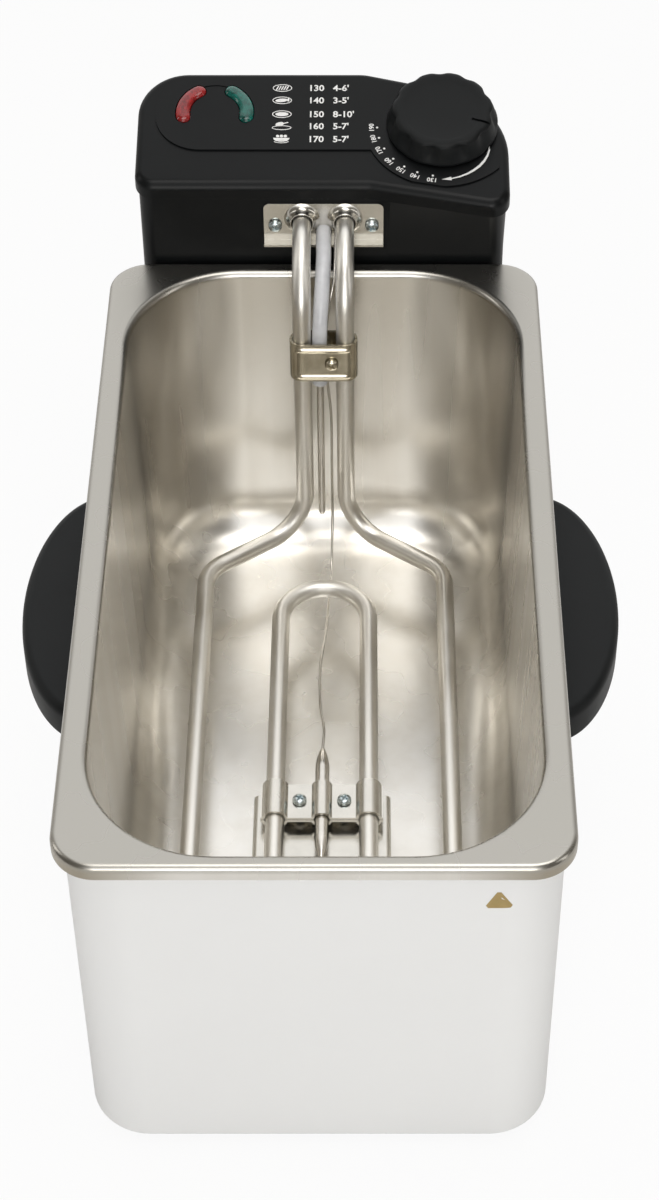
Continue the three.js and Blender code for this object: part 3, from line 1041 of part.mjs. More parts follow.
function sensors() {
  const out = RIM_Z + SLEEVE_OVER_RIM;
  const end = RIM_Z - SLEEVE_DROP;
  const bore = LIMITER_BULB_RADIUS + SLEEVE_FIT;
  const route = [
    [0, CASE_FRONT + 8, out],
    [0, CASE_FRONT - 8, out],
    [0.1, CASE_FRONT - 18, out - 2.5],
    [-0.6, NECK_Y + 8, out - 11],
    [-1.4, NECK_Y + 1.5, out - 22],
    [SLEEVE_X, NECK_Y, out - 32],
    [SLEEVE_X, NECK_Y, end],
  ];
  const longer = [[0, CASE_FRONT + 12, out], ...route.slice(1, -1), [SLEEVE_X, NECK_Y, end - 4]];
  add("sensor_sleeve", cut(softBar(route, SLEEVE_RADIUS, 16, 10), softBar(longer, bore, 16, 10)), SILICONE);
  const cutoutZ = HEAD_BOTTOM_Z + CUTOUT_OVER_BOTTOM;
  const limiterRoute = [
    [CUTOUT_X + CUTOUT[0] / 2 + SEAT_GAP, CASE_REAR - HEAD_WALL - CUTOUT[1] / 2, cutoutZ],
    [-6, CASE_REAR - 20, cutoutZ + 8],
    [-1, CASE_FRONT + 20, out - 3],
    ...route.slice(0, -1),
    [SLEEVE_X, NECK_Y, end + 6],
  ];
  const bulbTop = end + 5;
  const tip = RIM_Z - LIMITER_BULB_DROP;
  const profile = [
    [LIMITER_BULB_RADIUS * 0.4, tip],
    [LIMITER_BULB_RADIUS, tip + 3],
    [LIMITER_BULB_RADIUS, bulbTop],
    [CAPILLARY_RADIUS, bulbTop + 2],
  ];
  const bulb = turned(profile, [SLEEVE_X, NECK_Y, 0], "up", 12);
  add("limiter_probe", join(bulb, softBar(limiterRoute, CAPILLARY_RADIUS, 36, 5)), BRIGHT_STEEL);
  const bulbEnd = BULB_LENGTH / 2;
  const shape = [
    [CAPILLARY_RADIUS + 0.2, -bulbEnd],
    [BULB_RADIUS, BULB_TAPER - bulbEnd],
    [BULB_RADIUS, bulbEnd - BULB_TAPER],
    [CAPILLARY_RADIUS + 0.3, bulbEnd],
  ];
  add("thermostat_bulb", turned(shape, [0, BULB_Y, ELEMENT_Z], "back", 16), STAINLESS);
  const tail = BULB_Y + bulbEnd + SEAT_GAP;
  const behind = NECK_Y + TUBE_HOLE + SHEET + SEAT_GAP + CAPILLARY_RADIUS + 0.6;
  const under = ELEMENT_Z - TUBE_RADIUS - CAPILLARY_RADIUS - 1.5;
  const blockSide = DIAL[0] + THERMOSTAT_SHIFT[0] - THERMOSTAT[0] / 2 - SEAT_GAP - CAPILLARY_RADIUS;
  const start = new THREE.Vector3(blockSide, DIAL[1] + THERMOSTAT_SHIFT[1], -THERMOSTAT[2]).applyMatrix4(panel.matrix);
  const capillary = [
    start.toArray(),
    [24, start.y - 4, start.z - 9],
    [14, CASE_FRONT + 14, RIM_Z + 15],
    [CAPILLARY_X + 0.6, CASE_FRONT + 8, RIM_Z + CAPILLARY_OVER_RIM],
    [CAPILLARY_X, CASE_FRONT + 2, RIM_Z + CAPILLARY_OVER_RIM],
    [CAPILLARY_X, CASE_FRONT - 6, RIM_Z + CAPILLARY_OVER_RIM],
    [CAPILLARY_X - 0.6, NECK_Y + 14, RIM_Z + 8],
    [2, behind + 1, RIM_Z - 6],
    [0.8, behind, RIM_Z - 22],
    [1.2, behind - 0.5, RIM_Z - 42],
    [2.9, NECK_Y + 3, RIM_Z - 62],
    [3, NECK_Y - 1, RIM_Z - 90],
    [3.2, NECK_Y - 9, RIM_Z - 112],
    [2.6, NECK_Y - 24, under + 2],
    [1.6, NECK_Y - LOOP_BACK - 2, under - 0.5],
    [0.4, NECK_Y - LOOP_BACK - 24, under + 1],
    [-1.6, tail + 52, ELEMENT_Z - 3],
    [-1.4, tail + 28, ELEMENT_Z - 2],
    [0.4, tail + 12, ELEMENT_Z - 0.5],
    [0, tail, ELEMENT_Z],
  ];
  add("thermostat_capillary", softBar(capillary, CAPILLARY_RADIUS, 56, 5), BRIGHT_STEEL);
}

// ---------------------------------------------------------------- inside and on the back of the head

function electrics() {
  const back = CASE_REAR - HEAD_WALL - SEAT_GAP;
  const cutoutZ = HEAD_BOTTOM_Z + CUTOUT_OVER_BOTTOM;
  const [cw, cd, ch] = CUTOUT;
  const bodyBox = box(CUTOUT_X - cw / 2, CUTOUT_X + cw / 2, back - cd, back, cutoutZ - ch / 2, cutoutZ + ch / 2);
  const well = rod(BUTTON_RADIUS + SLIDE_GAP / 2, -8, 2, [CUTOUT_X, back, cutoutZ], "back", 20);
  add("thermal_cutout", cut(bodyBox, well), BAKELITE);
  const buttonEnd = CASE_REAR + SEAT_GAP + BUTTON_PROUD;
  const button = turned([[BUTTON_RADIUS, back - 5], [BUTTON_RADIUS, buttonEnd - 0.8], [BUTTON_RADIUS - 0.8, buttonEnd]],
    [CUTOUT_X, 0, cutoutZ], "back", 20);
  add("reset_button", button, RED_PLASTIC);
  const floor = HEAD_BOTTOM_Z + HEAD_WALL + SEAT_GAP;
  const [tw, td, th] = TERMINALS;
  const ty = CASE_REAR - HEAD_WALL - TERMINALS_AHEAD;
  const block = box(TERMINALS_X - tw / 2, TERMINALS_X + tw / 2, ty - td / 2, ty + td / 2, floor, floor + th);
  const [wellRadius, wellDepth] = TERMINAL_WELL;
  const wells = [-1, 0, 1].map((i) =>
    rod(wellRadius, th - wellDepth, th + 1, [TERMINALS_X + (i * tw) / 3, ty, floor], "up", 12));
  add("terminal_block", cut(block, ...wells), CERAMIC);
  const [sw, sd, sh] = SWITCH;
  const sy = plungerY();
  const sz = HEAD_BOTTOM_Z + SWITCH_OVER_BOTTOM;
  const housed = box(STRIKER_X - sw / 2, STRIKER_X + sw / 2, sy - sd / 2, sy + sd / 2, sz, sz + sh);
  const legs = SIDES.map(([, side]) => {
    const middle = STRIKER_X + (side * (sw - SWITCH_LEG)) / 2;
    return box(middle - SWITCH_LEG / 2, middle + SWITCH_LEG / 2, sy - sd / 2, sy + sd / 2, floor, sz + 1);
  });
  const guide = rod(PLUNGER_RADIUS + SLIDE_GAP / 2, -2, 6, [STRIKER_X, sy, sz], "up", 16);
  add("safety_switch", cut(join(housed, ...legs), guide), DARK_PLASTIC);
  const tip = strikerZ() + SEAT_GAP;
  const plunger = turned([[PLUNGER_RADIUS * 0.6, tip], [PLUNGER_RADIUS, tip + 0.8], [PLUNGER_RADIUS, sz + 5]],
    [STRIKER_X, sy, 0], "up", 16);
  add("interlock_plunger", plunger, RED_PLASTIC);
  const gz = HEAD_BOTTOM_Z + GLAND_OVER_BOTTOM;
  const outer = CASE_REAR + SEAT_GAP;
  const inner = CASE_REAR - HEAD_WALL - SEAT_GAP;
  const [lipInside, lipOutside] = GLAND_LIP;
  const glandShape = [
    [GLAND_RADIUS + lipInside, inner - 2],
    [GLAND_RADIUS + lipInside, inner],
    [GLAND_RADIUS, inner],
    [GLAND_RADIUS, outer],
    [GLAND_RADIUS + lipOutside, outer],
    [GLAND_RADIUS + lipOutside - 0.8, outer + GLAND_FLANGE],
  ];
  const gland = turned(glandShape, [-GLAND_X, 0, gz], "back", 24);
  const hole = rod(GLAND_BORE, inner - 9, outer + 9, [-GLAND_X, 0, gz], "back", 16);
  add("cord_gland", cut(gland, hole), RUBBER);
}

// ---------------------------------------------------------------- the whole fryer

housing();
base();
handles();
rails();
pot();
headCase();
headCover();
lamps();
thermostat();
knob();
element();
bracket();
neckClamp();
bulbClamp();
sensors();
electrics();

export default fryer;
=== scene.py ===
# %% [markdown]
# # A three-litre deep fryer
# A white sheet-metal housing carries a lift-out steel pot. Behind it hangs a black control head, from
# which a heating element and two sensors reach down into the pot. The CAD frame already holds every
# piece at its real place and size. This lesson gives the pieces their pressed, rounded and moulded
# forms, and their finishes.

# %% Load the frame
import json
import math

import bmesh
import bpy
from mathutils import Matrix, Vector


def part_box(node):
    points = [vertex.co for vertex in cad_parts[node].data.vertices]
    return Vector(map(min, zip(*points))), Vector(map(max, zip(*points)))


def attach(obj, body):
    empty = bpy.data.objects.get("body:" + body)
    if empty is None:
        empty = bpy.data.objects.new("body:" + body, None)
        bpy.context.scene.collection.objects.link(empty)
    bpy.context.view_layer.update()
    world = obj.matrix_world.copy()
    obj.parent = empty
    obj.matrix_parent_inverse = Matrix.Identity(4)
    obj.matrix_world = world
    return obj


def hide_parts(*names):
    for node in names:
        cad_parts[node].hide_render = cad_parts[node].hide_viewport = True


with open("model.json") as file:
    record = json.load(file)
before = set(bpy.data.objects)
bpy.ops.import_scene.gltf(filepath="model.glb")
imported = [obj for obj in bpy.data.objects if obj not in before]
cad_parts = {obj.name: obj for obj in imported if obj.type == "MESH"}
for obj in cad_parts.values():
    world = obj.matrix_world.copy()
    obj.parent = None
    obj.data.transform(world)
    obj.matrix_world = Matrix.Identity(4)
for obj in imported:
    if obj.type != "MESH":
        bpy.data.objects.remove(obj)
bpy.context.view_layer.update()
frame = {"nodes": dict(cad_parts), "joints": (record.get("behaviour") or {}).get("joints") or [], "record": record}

# %% [markdown]
# ## Where things are
# Lengths are written in millimetres and measured as a sheet-metal worker would: y = 0 is the front
# edge of the pot's rim, z = 0 is the table and x = 0 is the middle. One matrix, `home`, takes that
# frame to the CAD frame in metres. Places come from the boxes of the frame's own nodes. Pieces that
# touch are left a hair apart, and the head's case stands a little in from its cover.

# %% The maker's frame
MM = 0.001
SHEET = 1
SEAT_GAP = 0.3
CASE_IN = 1.4
rim_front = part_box("inner_pot")[0].y
home = Matrix.Translation((0, rim_front, 0)) @ Matrix.Scale(MM, 4)


def box_mm(node):
    """A CAD node's lowest and highest corners in the maker's frame."""
    return [home.inverted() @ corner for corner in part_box(node)]


def in_scene(name, data):
    thing = bpy.data.objects.new(name, data)
    bpy.context.scene.collection.objects.link(thing)
    return thing


pot_low, pot_high = box_mm("inner_pot")
house_low, house_high = box_mm("housing_shell")
case_low, case_high = box_mm("head_case")
RIM_Z = pot_high.z
FLOOR_Z = pot_low.z + SHEET
HEAD_Y = pot_high.y + 2 * SEAT_GAP
CASE_Y = HEAD_Y + CASE_IN
print("rim", round(pot_high.x * 2), "by", round(pot_high.y), "mm at height", round(RIM_Z))

# %% [markdown]
# The head's top slopes. It gets a frame of its own: x across the panel, y up its slope and z straight
# out of its raised field. The dial, the lamps and the printing are then laid out flat, as on a drawing.

# %% The sloping panel
TILT = math.radians(14)
HEAD_RISE = 41.6
FIELD_RISE = 0.8
panel = Matrix.Translation((0, HEAD_Y, RIM_Z + HEAD_RISE)) @ Matrix.Rotation(TILT, 4, "X")
panel = panel @ Matrix.Translation((0, 0, FIELD_RISE))
dial_joint = next(j for j in frame["joints"] if j["name"] == "knob_turn")
dial = panel.inverted() @ home.inverted() @ Vector(dial_joint["pos_m"])
LAMP_X, LAMP_Y = -48, 40.5
print("dial on the panel:", round(dial.x, 2), round(dial.y, 2))

# %% [markdown]
# ## The camera
# The camera comes early, because every later choice is looked at through it. It stands in front of the
# fryer, a little to the right of its middle, and looks down at 45 degrees through a long lens, so that
# the pot's long sides draw together only gently. The small shift brings the fryer to the middle of the
# frame without turning the camera.

# %% Place the camera
lens = bpy.data.cameras.new("camera")
lens.sensor_width = 36
lens.lens = 78.42
lens.shift_x = -0.0293
lens.clip_end = 20
camera = in_scene("camera", lens)
camera.location = home @ Vector((18, -581, RIM_Z + 714))
camera.rotation_euler = (math.radians(45), 0, 0)
bpy.context.scene.camera = camera
print("lens", round(lens.lens, 1), "mm, camera at", tuple(round(v, 3) for v in camera.location))

# %% [markdown]
# ## Shared tools
# Most of a fryer is sheet metal or mouldings, whose shape is a rounded outline that changes from level
# to level. So one tool draws an outline with rounded corners, and another stretches a skin over a
# stack of such outlines. Tubes are skins too, over rings along a path.


# %% Rounding one corner
def round_corner(before, corner, after, radius, steps):
    """Points of the arc that rounds a corner between two straight runs."""
    back = (before - corner).normalized()
    ahead = (after - corner).normalized()
    half = math.acos(max(-1, min(1, back.dot(ahead)))) / 2
    centre = corner + (back + ahead).normalized() * (radius / math.sin(half))
    start = corner + back * (radius / math.tan(half)) - centre
    end = corner + ahead * (radius / math.tan(half)) - centre
    sweep = math.pi - 2 * half
    points = []
    for i in range(steps + 1):
        t = sweep * i / steps
        points.append(centre + (start * math.sin(sweep - t) + end * math.sin(t)) / math.sin(sweep))
    return points


# %% [markdown]
# A sheet is drawn twice, once for each face, so an outline can be asked for again a little further in.
# Outer corners then get tighter and inner ones wider, as they do in real sheet.

# %% An outline with rounded corners
def outline(corners, inset=0, steps=12):
    """Corners are (x, y, radius), anticlockwise. Every edge is moved inwards by inset."""
    moved = []
    for i, (x, y, radius) in enumerate(corners):
        px, py, _ = corners[i - 1]
        nx, ny, _ = corners[(i + 1) % len(corners)]
        before = Vector((x - px, y - py)).normalized()
        after = Vector((nx - x, ny - y)).normalized()
        side = Vector((-before.y - after.y, before.x + after.x)) * (inset / (1 + before.dot(after)))
        turns_left = before.x * after.y - before.y * after.x > 0
        moved.append((Vector((x, y)) + side, max(radius + (-inset if turns_left else inset), 0.4)))
    points = []
    for i, (corner, radius) in enumerate(moved):
        after = moved[(i + 1) % len(moved)][0]
        points += round_corner(moved[i - 1][0], corner, after, radius, steps)
    return points


def rectangle(half, y0, y1, radius):
    return [(half, y0, radius), (half, y1, radius), (-half, y1, radius), (-half, y0, radius)]


def lift(points, z):
    """Flat points raised to a height, which may depend on the point."""
    return [Vector((p.x, p.y, z(p) if callable(z) else z)) for p in points]


def slab(points, low, high):
    """A flat outline with a thickness, as a stack of two rings."""
    return [lift(points, low), lift(points, high)]


def quarter(steps):
    """Angles over a quarter turn, from 0 up to 90 degrees."""
    return [math.pi / 2 * i / steps for i in range(steps + 1)]


print("a square with rounded corners has", len(outline(rectangle(5, 0, 10, 2))), "points")


# %% [markdown]
# A skin over rings is smooth, and real pressings have crisp edges as well. So every edge that turns by
# more than a chosen angle is marked sharp, and the rest is shaded smooth.

# %% From rings to a piece
def add_rings(bm, rings, closed=False):
    """Skins a list of rings with quads. An open list gets a flat face on each end."""
    rows = [[bm.verts.new(p) for p in ring] for ring in rings]
    count = len(rows[0])
    for i in range(len(rows) if closed else len(rows) - 1):
        low, high = rows[i], rows[(i + 1) % len(rows)]
        for j in range(count):
            k = (j + 1) % count
            bm.faces.new((low[j], low[k], high[k], high[j]))
    if not closed:
        bm.faces.new(list(reversed(rows[0])))
        bm.faces.new(rows[-1])


def crisp(piece, sharp):
    """Shades a mesh smooth, and keeps each edge sharp that turns by more than an angle in degrees."""
    bm = bmesh.new()
    bm.from_mesh(piece.data)
    for face in bm.faces:
        face.smooth = True
    for edge in bm.edges:
        edge.smooth = len(edge.link_faces) == 2 and edge.calc_face_angle(0) < math.radians(sharp)
    bm.to_mesh(piece.data)
    bm.free()


def piece_from(name, stacks, closed=False, sharp=32, place=None):
    """One object from several stacks of rings, each skinned by itself."""
    bm = bmesh.new()
    for stack in stacks:
        add_rings(bm, stack, closed)
    bmesh.ops.remove_doubles(bm, verts=bm.verts, dist=1e-4)
    bmesh.ops.recalc_face_normals(bm, faces=bm.faces)
    bm.transform(home @ (place or Matrix.Identity(4)))
    mesh = bpy.data.meshes.new(name)
    bm.to_mesh(mesh)
    bm.free()
    piece = in_scene(name, mesh)
    crisp(piece, sharp)
    return piece


print("tools so far make an object from rings")


# %% [markdown]
# Screws, feet and collars are turned on a lathe, and tubes are bent over formers. A turned shape is a
# stack of circles. A tube is circles along a path, with straight runs and bends, or a soft curve.

# %% Circles, tubes and turned shapes
def ring_at(centre, across, other, radius, sides):
    turn = [2 * math.pi * i / sides for i in range(sides)]
    return [centre + (across * math.cos(a) + other * math.sin(a)) * radius for a in turn]


def turned(profile, sides=48):
    """Rings of a turned shape round the Z axis. The profile is a list of (radius, height)."""
    x, y = Vector((1, 0, 0)), Vector((0, 1, 0))
    return [ring_at(Vector((0, 0, z)), x, y, max(r, 0.01), sides) for r, z in profile]


def tube(path, radius, sides=24):
    """Rings along a path, kept from twisting. The radius may depend on the share of the way along."""
    last = len(path) - 1
    headings = [(path[min(i + 1, last)] - path[max(i - 1, 0)]).normalized() for i in range(last + 1)]
    across = Vector((1, 0, 0)) if abs(headings[0].x) < 0.9 else Vector((0, 0, 1))
    rings = []
    for i, centre in enumerate(path):
        across = (across - headings[i] * across.dot(headings[i])).normalized()
        size = radius(i / last) if callable(radius) else radius
        rings.append(ring_at(centre, across, headings[i].cross(across), size, sides))
    return rings


def bent_path(stops, steps=14):
    """Straight runs joined by bends. Each stop is (x, y, z, bend radius)."""
    at = [Vector(stop[:3]) for stop in stops]
    points = [at[0]]
    for i in range(1, len(at) - 1):
        points += round_corner(at[i - 1], at[i], at[i + 1], stops[i][3], steps)
    return points + [at[-1]]


def soft_path(points, per_span=8):
    """A soft curve through given points."""
    at = [Vector(p) for p in points]
    ends = [at[0] * 2 - at[1]] + at + [at[-1] * 2 - at[-2]]
    path = []
    for i in range(1, len(ends) - 2):
        a, b, c, d = ends[i - 1:i + 3]
        for j in range(per_span):
            t = j / per_span
            path.append(0.5 * (2 * b + (c - a) * t + (2 * a - 5 * b + 4 * c - d) * t * t
                               + (3 * b - a - 3 * c + d) * t ** 3))
    return path + [at[-1]]


def facing(at, way):
    """Stands a turned shape's axis at a point, looking along a direction."""
    turn = Vector((0, 0, 1)).rotation_difference(Vector(way)).to_matrix().to_4x4()
    return Matrix.Translation(at) @ turn


print("a quarter bend has", len(bent_path([(0, 0, 0, 0), (9, 0, 0, 4), (9, 9, 0, 0)])), "points")


# %% [markdown]
# Holes are cut the way a workshop does it, with a drill or a block as the tool. A bevel then breaks the
# edges, because a real edge is never quite sharp and always catches a thin line of light.

# %% Cutting, joining and rounding
def shaped(piece, operation, *tools):
    """Cuts, joins or keeps the overlap with other pieces, which are used up."""
    for tool in tools:
        step = piece.modifiers.new(operation, "BOOLEAN")
        step.operation = operation
        step.solver = "EXACT"
        step.object = tool
    bake(piece)
    for tool in tools:
        bpy.data.objects.remove(tool)
    return piece


def bake(piece):
    """Turns a piece's modifiers into plain mesh."""
    bpy.context.view_layer.update()
    seen = piece.evaluated_get(bpy.context.evaluated_depsgraph_get())
    ready = bpy.data.meshes.new_from_object(seen)
    piece.modifiers.clear()
    piece.data = ready


def soften(piece, width, segments=3, angle=35, sharp=32):
    """Rounds every edge that turns by more than an angle."""
    step = piece.modifiers.new("soften", "BEVEL")
    step.width = width * MM
    step.segments = segments
    step.limit_method = "ANGLE"
    step.angle_limit = math.radians(angle)
    bake(piece)
    crisp(piece, sharp)
    return piece


def block(name, x0, x1, y0, y1, z0, z1, place=None):
    corners = [Vector((x1, y0)), Vector((x1, y1)), Vector((x0, y1)), Vector((x0, y0))]
    return piece_from(name, [slab(corners, z0, z1)], place=place)


def drill(radius, at, way, length=20, sides=32, place=None):
    """A round cutting tool, centred on a point and running along a direction."""
    stand = (place or Matrix.Identity(4)) @ facing(at, way)
    return piece_from("drill", [turned([(radius, -length / 2), (radius, length / 2)], sides)], place=stand)


def pierce(piece, sharp, *tools):
    shaped(piece, "DIFFERENCE", *tools)
    crisp(piece, sharp)


SIDES = (("left", -1), ("right", 1))
forward, back, upward = (0, -1, 0), (0, 1, 0), (0, 0, 1)
print("cutting tools ready")


# %% [markdown]
# The last tool hands a piece over: it gives it a finish and the CAD body it moves with, and hides the
# CAD nodes that it stands for. Large flat faces are told to lead the shading, so that a
# rounded edge beside them doesn't make them look dented.

# %% Handing a piece over
finishes = {}


def hand_over(piece, finish, body, slot, *nodes):
    piece.data.materials.clear()
    piece.data.materials.append(finishes[finish])
    even = piece.modifiers.new("even shading", "WEIGHTED_NORMAL")
    even.weight = 80
    even.keep_sharp = True
    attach(piece, body)
    if nodes:
        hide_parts(*nodes)
    return piece


print("tools ready")

# %% [markdown]
# ## The finishes
# Each finish is a Principled shader whose colour, roughness and bump come from noise in the piece's own
# place, so no picture and no unwrapping is needed. A few small helpers keep the recipes short: they
# make noise at a chosen scale, map it to a range or to colours, and turn it into a fine relief. The
# last one joins them into the recipe that most of the finishes share.


# %% Noise, range and relief helpers
def fill(node, inputs):
    """Fills in a shader node's inputs, each with a value or with another node's output."""
    for key, value in inputs.items():
        if isinstance(value, bpy.types.NodeSocket):
            node.id_data.links.new(value, node.inputs[key])
        else:
            node.inputs[key].default_value = value
    return node


def add(tree, kind, inputs=(), **settings):
    node = tree.nodes.new("ShaderNode" + kind)
    for key, value in settings.items():
        setattr(node, key, value)
    return fill(node, dict(inputs))


def new_finish(name, base, metal, rough):
    finish = bpy.data.materials.new(name)
    finish.use_nodes = True
    finishes[name] = finish
    shader = finish.node_tree.nodes["Principled BSDF"]
    return fill(shader, {"Base Color": (*base, 1), "Metallic": metal, "Roughness": rough})


def place_of(tree, stretch=(1, 1, 1)):
    """Where a point is, in metres, squeezed along each axis."""
    where = add(tree, "TexCoord").outputs["Object"]
    return add(tree, "Mapping", {"Vector": where, "Scale": stretch}).outputs["Vector"]


def noise(tree, vector, scale, detail=3, roughness=0.55):
    grain = {"Vector": vector, "Scale": scale, "Detail": detail, "Roughness": roughness}
    return add(tree, "TexNoise", grain).outputs["Fac"]


def ranged(tree, value, low, high, from_low=0.3, from_high=0.7):
    """Maps a value on to a range. The usual start is where most of a noise lies."""
    ends = {"From Min": from_low, "From Max": from_high, "To Min": low, "To Max": high}
    return add(tree, "MapRange", {"Value": value, **ends}).outputs["Result"]


def shades(tree, value, stops):
    """Maps a value on to colours. Each stop is (place, (r, g, b))."""
    ramp = add(tree, "ValToRGB", {"Fac": value})
    elements = ramp.color_ramp.elements
    while len(elements) < len(stops):
        elements.new(0.5)
    for element, (at, colour) in zip(elements, stops):
        element.position = at
        element.color = (*colour, 1)
    return ramp.outputs["Color"]


def relief(shader, value, depth_mm, strength=1.0):
    bump = add(shader.id_data, "Bump", {"Strength": strength, "Distance": depth_mm * MM, "Height": value})
    fill(shader, {"Normal": bump.outputs["Normal"]})


def wandering(name, dark, light, metal, rough, tone, ends, spread, grain):
    """Two tones that wander with one noise, in colour and in roughness, over a fine relief."""
    shader = new_finish(name, light, metal, rough)
    tree = shader.id_data
    where = place_of(tree)
    drift = noise(tree, where, *tone)
    colour = shades(tree, drift, list(zip(ends, (dark, light))))
    fill(shader, {"Base Color": colour, "Roughness": ranged(tree, drift, *spread)})
    scale, detail, depth, strength = grain
    relief(shader, noise(tree, where, scale, detail), depth, strength)
    return shader


print("finish helpers ready")

# %% [markdown]
# ### Drawn stainless steel
# The pot is deep drawn from one sheet. Drawing leaves faint upright streaks on the walls, so noise that
# is stretched upright drives the colour, the roughness and a very fine grain. In the four corners a
# darker, browner steel is painted in as shade, standing in for the dark reflections there. The flange
# is painted darker than the inside, as painted shade for its darker reflection. The colour itself is a warm grey.

# %% The pot's steel
STEEL = (0.86, 0.835, 0.785)
shader = new_finish("pot steel", STEEL, 1.0, 0.27)
tree = shader.id_data
upright = place_of(tree, (1, 1, 0.03))
streaks = noise(tree, upright, 60, 4, 0.6)
steel = shades(tree, streaks, [(0.30, (0.815, 0.785, 0.73)), (0.50, STEEL), (0.72, (0.89, 0.87, 0.83))])
cloud = noise(tree, upright, 35, 2)
fill(shader, {"Roughness": ranged(tree, cloud, 0.25, 0.30)})
relief(shader, noise(tree, place_of(tree, (1, 1, 0.02)), 900, 1), 0.006, 0.12)
print("pot steel: roughness 0.25 to 0.30")

# %% [markdown]
# Where a point lies says how much painted shade it gets. Three shares rise from 0 to 1 towards the sides, towards
# the ends and up from the floor's curve, and their product is the corners. A fourth share is the flange
# at the very top. Each of the two then pulls the colour towards a darker steel: painted shade that stands
# in for the dark reflections in the corners and on the flange.


# %% Paint shade into the corners and on the flange
def maths(operation, first, second=0.0):
    return add(tree, "Math", {0: first, 1: second}, operation=operation).outputs["Value"]


def blended(below, above, factor):
    mix = {"Factor": factor, "A": below, "B": (*above, 1)}
    return add(tree, "Mix", mix, data_type="RGBA").outputs["Result"]


POT_MIDDLE = (home @ Vector((0, (pot_low.y + pot_high.y) / 2, 0))).y
RIM_METRES = RIM_Z * MM
SIDE_BAND, END_BAND, LOW_BAND = (0.048, 0.082), (0.100, 0.160), (0.030, 0.075)
FLANGE_BAND = (RIM_METRES - 0.0035, RIM_METRES - 0.0005)
spot = add(tree, "SeparateXYZ", {"Vector": place_of(tree)}).outputs
sideways = ranged(tree, maths("ABSOLUTE", spot["X"]), 0.0, 1.0, *SIDE_BAND)
endways = ranged(tree, maths("ABSOLUTE", maths("SUBTRACT", spot["Y"], POT_MIDDLE)), 0.0, 1.0, *END_BAND)
lower = ranged(tree, spot["Z"], 0.0, 1.0, *LOW_BAND)
# painted shade: the corners' dark reflections, painted into the steel colour
corner = maths("MULTIPLY", maths("MULTIPLY", sideways, endways), lower)
steel = blended(steel, (0.40, 0.36, 0.29), corner)
# painted shade: the flange drawn darker, standing in for its darker reflection
steel = blended(steel, (0.42, 0.405, 0.37), ranged(tree, spot["Z"], 0.0, 1.0, *FLANGE_BAND))
fill(shader, {"Base Color": steel})
print("the corners start", SIDE_BAND[0], "m from the middle")

# %% [markdown]
# ### Heater steel, bright pressings and zinc
# The heating tube is a duller, greyer steel that has been hot: satin, with a slow change of tone along
# it. The brackets are nickel-plated pressings, brighter, and the neck clamp is the yellower one. The
# screws are zinc-plated, with a cold blue-green tint that comes and goes.


# %% Small metals
def metal(name, dark, light, rough, scale, grain_scale, depth):
    spread = (rough * 0.75, rough * 1.25)
    wandering(name, dark, light, 1.0, rough, (scale, 4), (0.32, 0.68), spread, (grain_scale, 3, depth, 0.4))


metal("heater steel", (0.86, 0.83, 0.77), (0.93, 0.91, 0.86), 0.38, 30, 1500, 0.008)
metal("bright steel", (0.62, 0.60, 0.55), (0.74, 0.715, 0.66), 0.22, 60, 1200, 0.006)
metal("clamp steel", (0.54, 0.49, 0.38), (0.68, 0.63, 0.51), 0.22, 90, 1200, 0.006)
metal("zinc", (0.42, 0.50, 0.52), (0.68, 0.74, 0.75), 0.26, 240, 2500, 0.01)
metal("probe steel", (0.62, 0.59, 0.54), (0.80, 0.77, 0.72), 0.22, 60, 1800, 0.01)
print("metals:", list(finishes))

# %% [markdown]
# ### Paint and plastics
# The housing's white paint is a powder coat: half-gloss, with a very slight orange-peel relief. The
# head is a black moulding with a fine spark-eroded texture. The knob and the grips are the same
# plastic with a coarser, duller texture. All three get a soft change of roughness, as handled plastic
# has.


# %% Coatings and mouldings
def moulded(name, dark, light, rough, tone_scale, grain_scale, depth, strength=0.5, coat=0.0, shine=0.5):
    spread = (rough * 0.85, rough * 1.15)
    grain = (grain_scale, 3, depth, strength)
    shader = wandering(name, dark, light, 0.0, rough, (tone_scale, 4), (0.3, 0.7), spread, grain)
    fill(shader, {"Coat Weight": coat, "Coat Roughness": 0.12, "Specular IOR Level": shine})


HEAD_DARK, HEAD_LIGHT = (0.0050, 0.0056, 0.0060), (0.0068, 0.0075, 0.0080)
GRIP_DARK, GRIP_LIGHT = (0.0055, 0.0064, 0.0068), (0.0080, 0.0090, 0.0095)
moulded("white paint", (0.845, 0.850, 0.850), (0.865, 0.870, 0.870), 0.38, 9, 420, 0.01, 0.2, 0.15)
moulded("black plastic", HEAD_DARK, HEAD_LIGHT, 0.34, 26, 2600, 0.02, 0.3, shine=0.16)
moulded("grip plastic", GRIP_DARK, GRIP_LIGHT, 0.46, 24, 1900, 0.04, 0.4, shine=0.17)
moulded("dark plastic", (0.010, 0.011, 0.012), (0.016, 0.017, 0.018), 0.5, 30, 1500, 0.04)
moulded("rubber", (0.009, 0.009, 0.009), (0.015, 0.015, 0.015), 0.8, 40, 900, 0.06)
moulded("red plastic", (0.30, 0.015, 0.012), (0.40, 0.022, 0.018), 0.4, 60, 1500, 0.02)
moulded("board", (0.045, 0.028, 0.018), (0.065, 0.040, 0.025), 0.55, 60, 700, 0.04)
moulded("ceramic", (0.72, 0.68, 0.60), (0.82, 0.79, 0.72), 0.45, 60, 900, 0.03)
moulded("white print", (0.80, 0.80, 0.79), (0.90, 0.90, 0.89), 0.55, 500, 4000, 0.01, 0.3)
moulded("ochre print", (0.33, 0.23, 0.075), (0.42, 0.30, 0.11), 0.45, 300, 2500, 0.01, 0.3)
print("mouldings ready")

# %% [markdown]
# ### Lamp lenses and the sleeve
# The lenses are tinted clear plastic over a small lamp: deep colour at the rims and a paler heart,
# with a wet gloss. Light scatters a little inside them, which subsurface shading gives without glass.
# The sleeve on the limiter's sensor is milky silicone, greyish blue, and lets some light through.


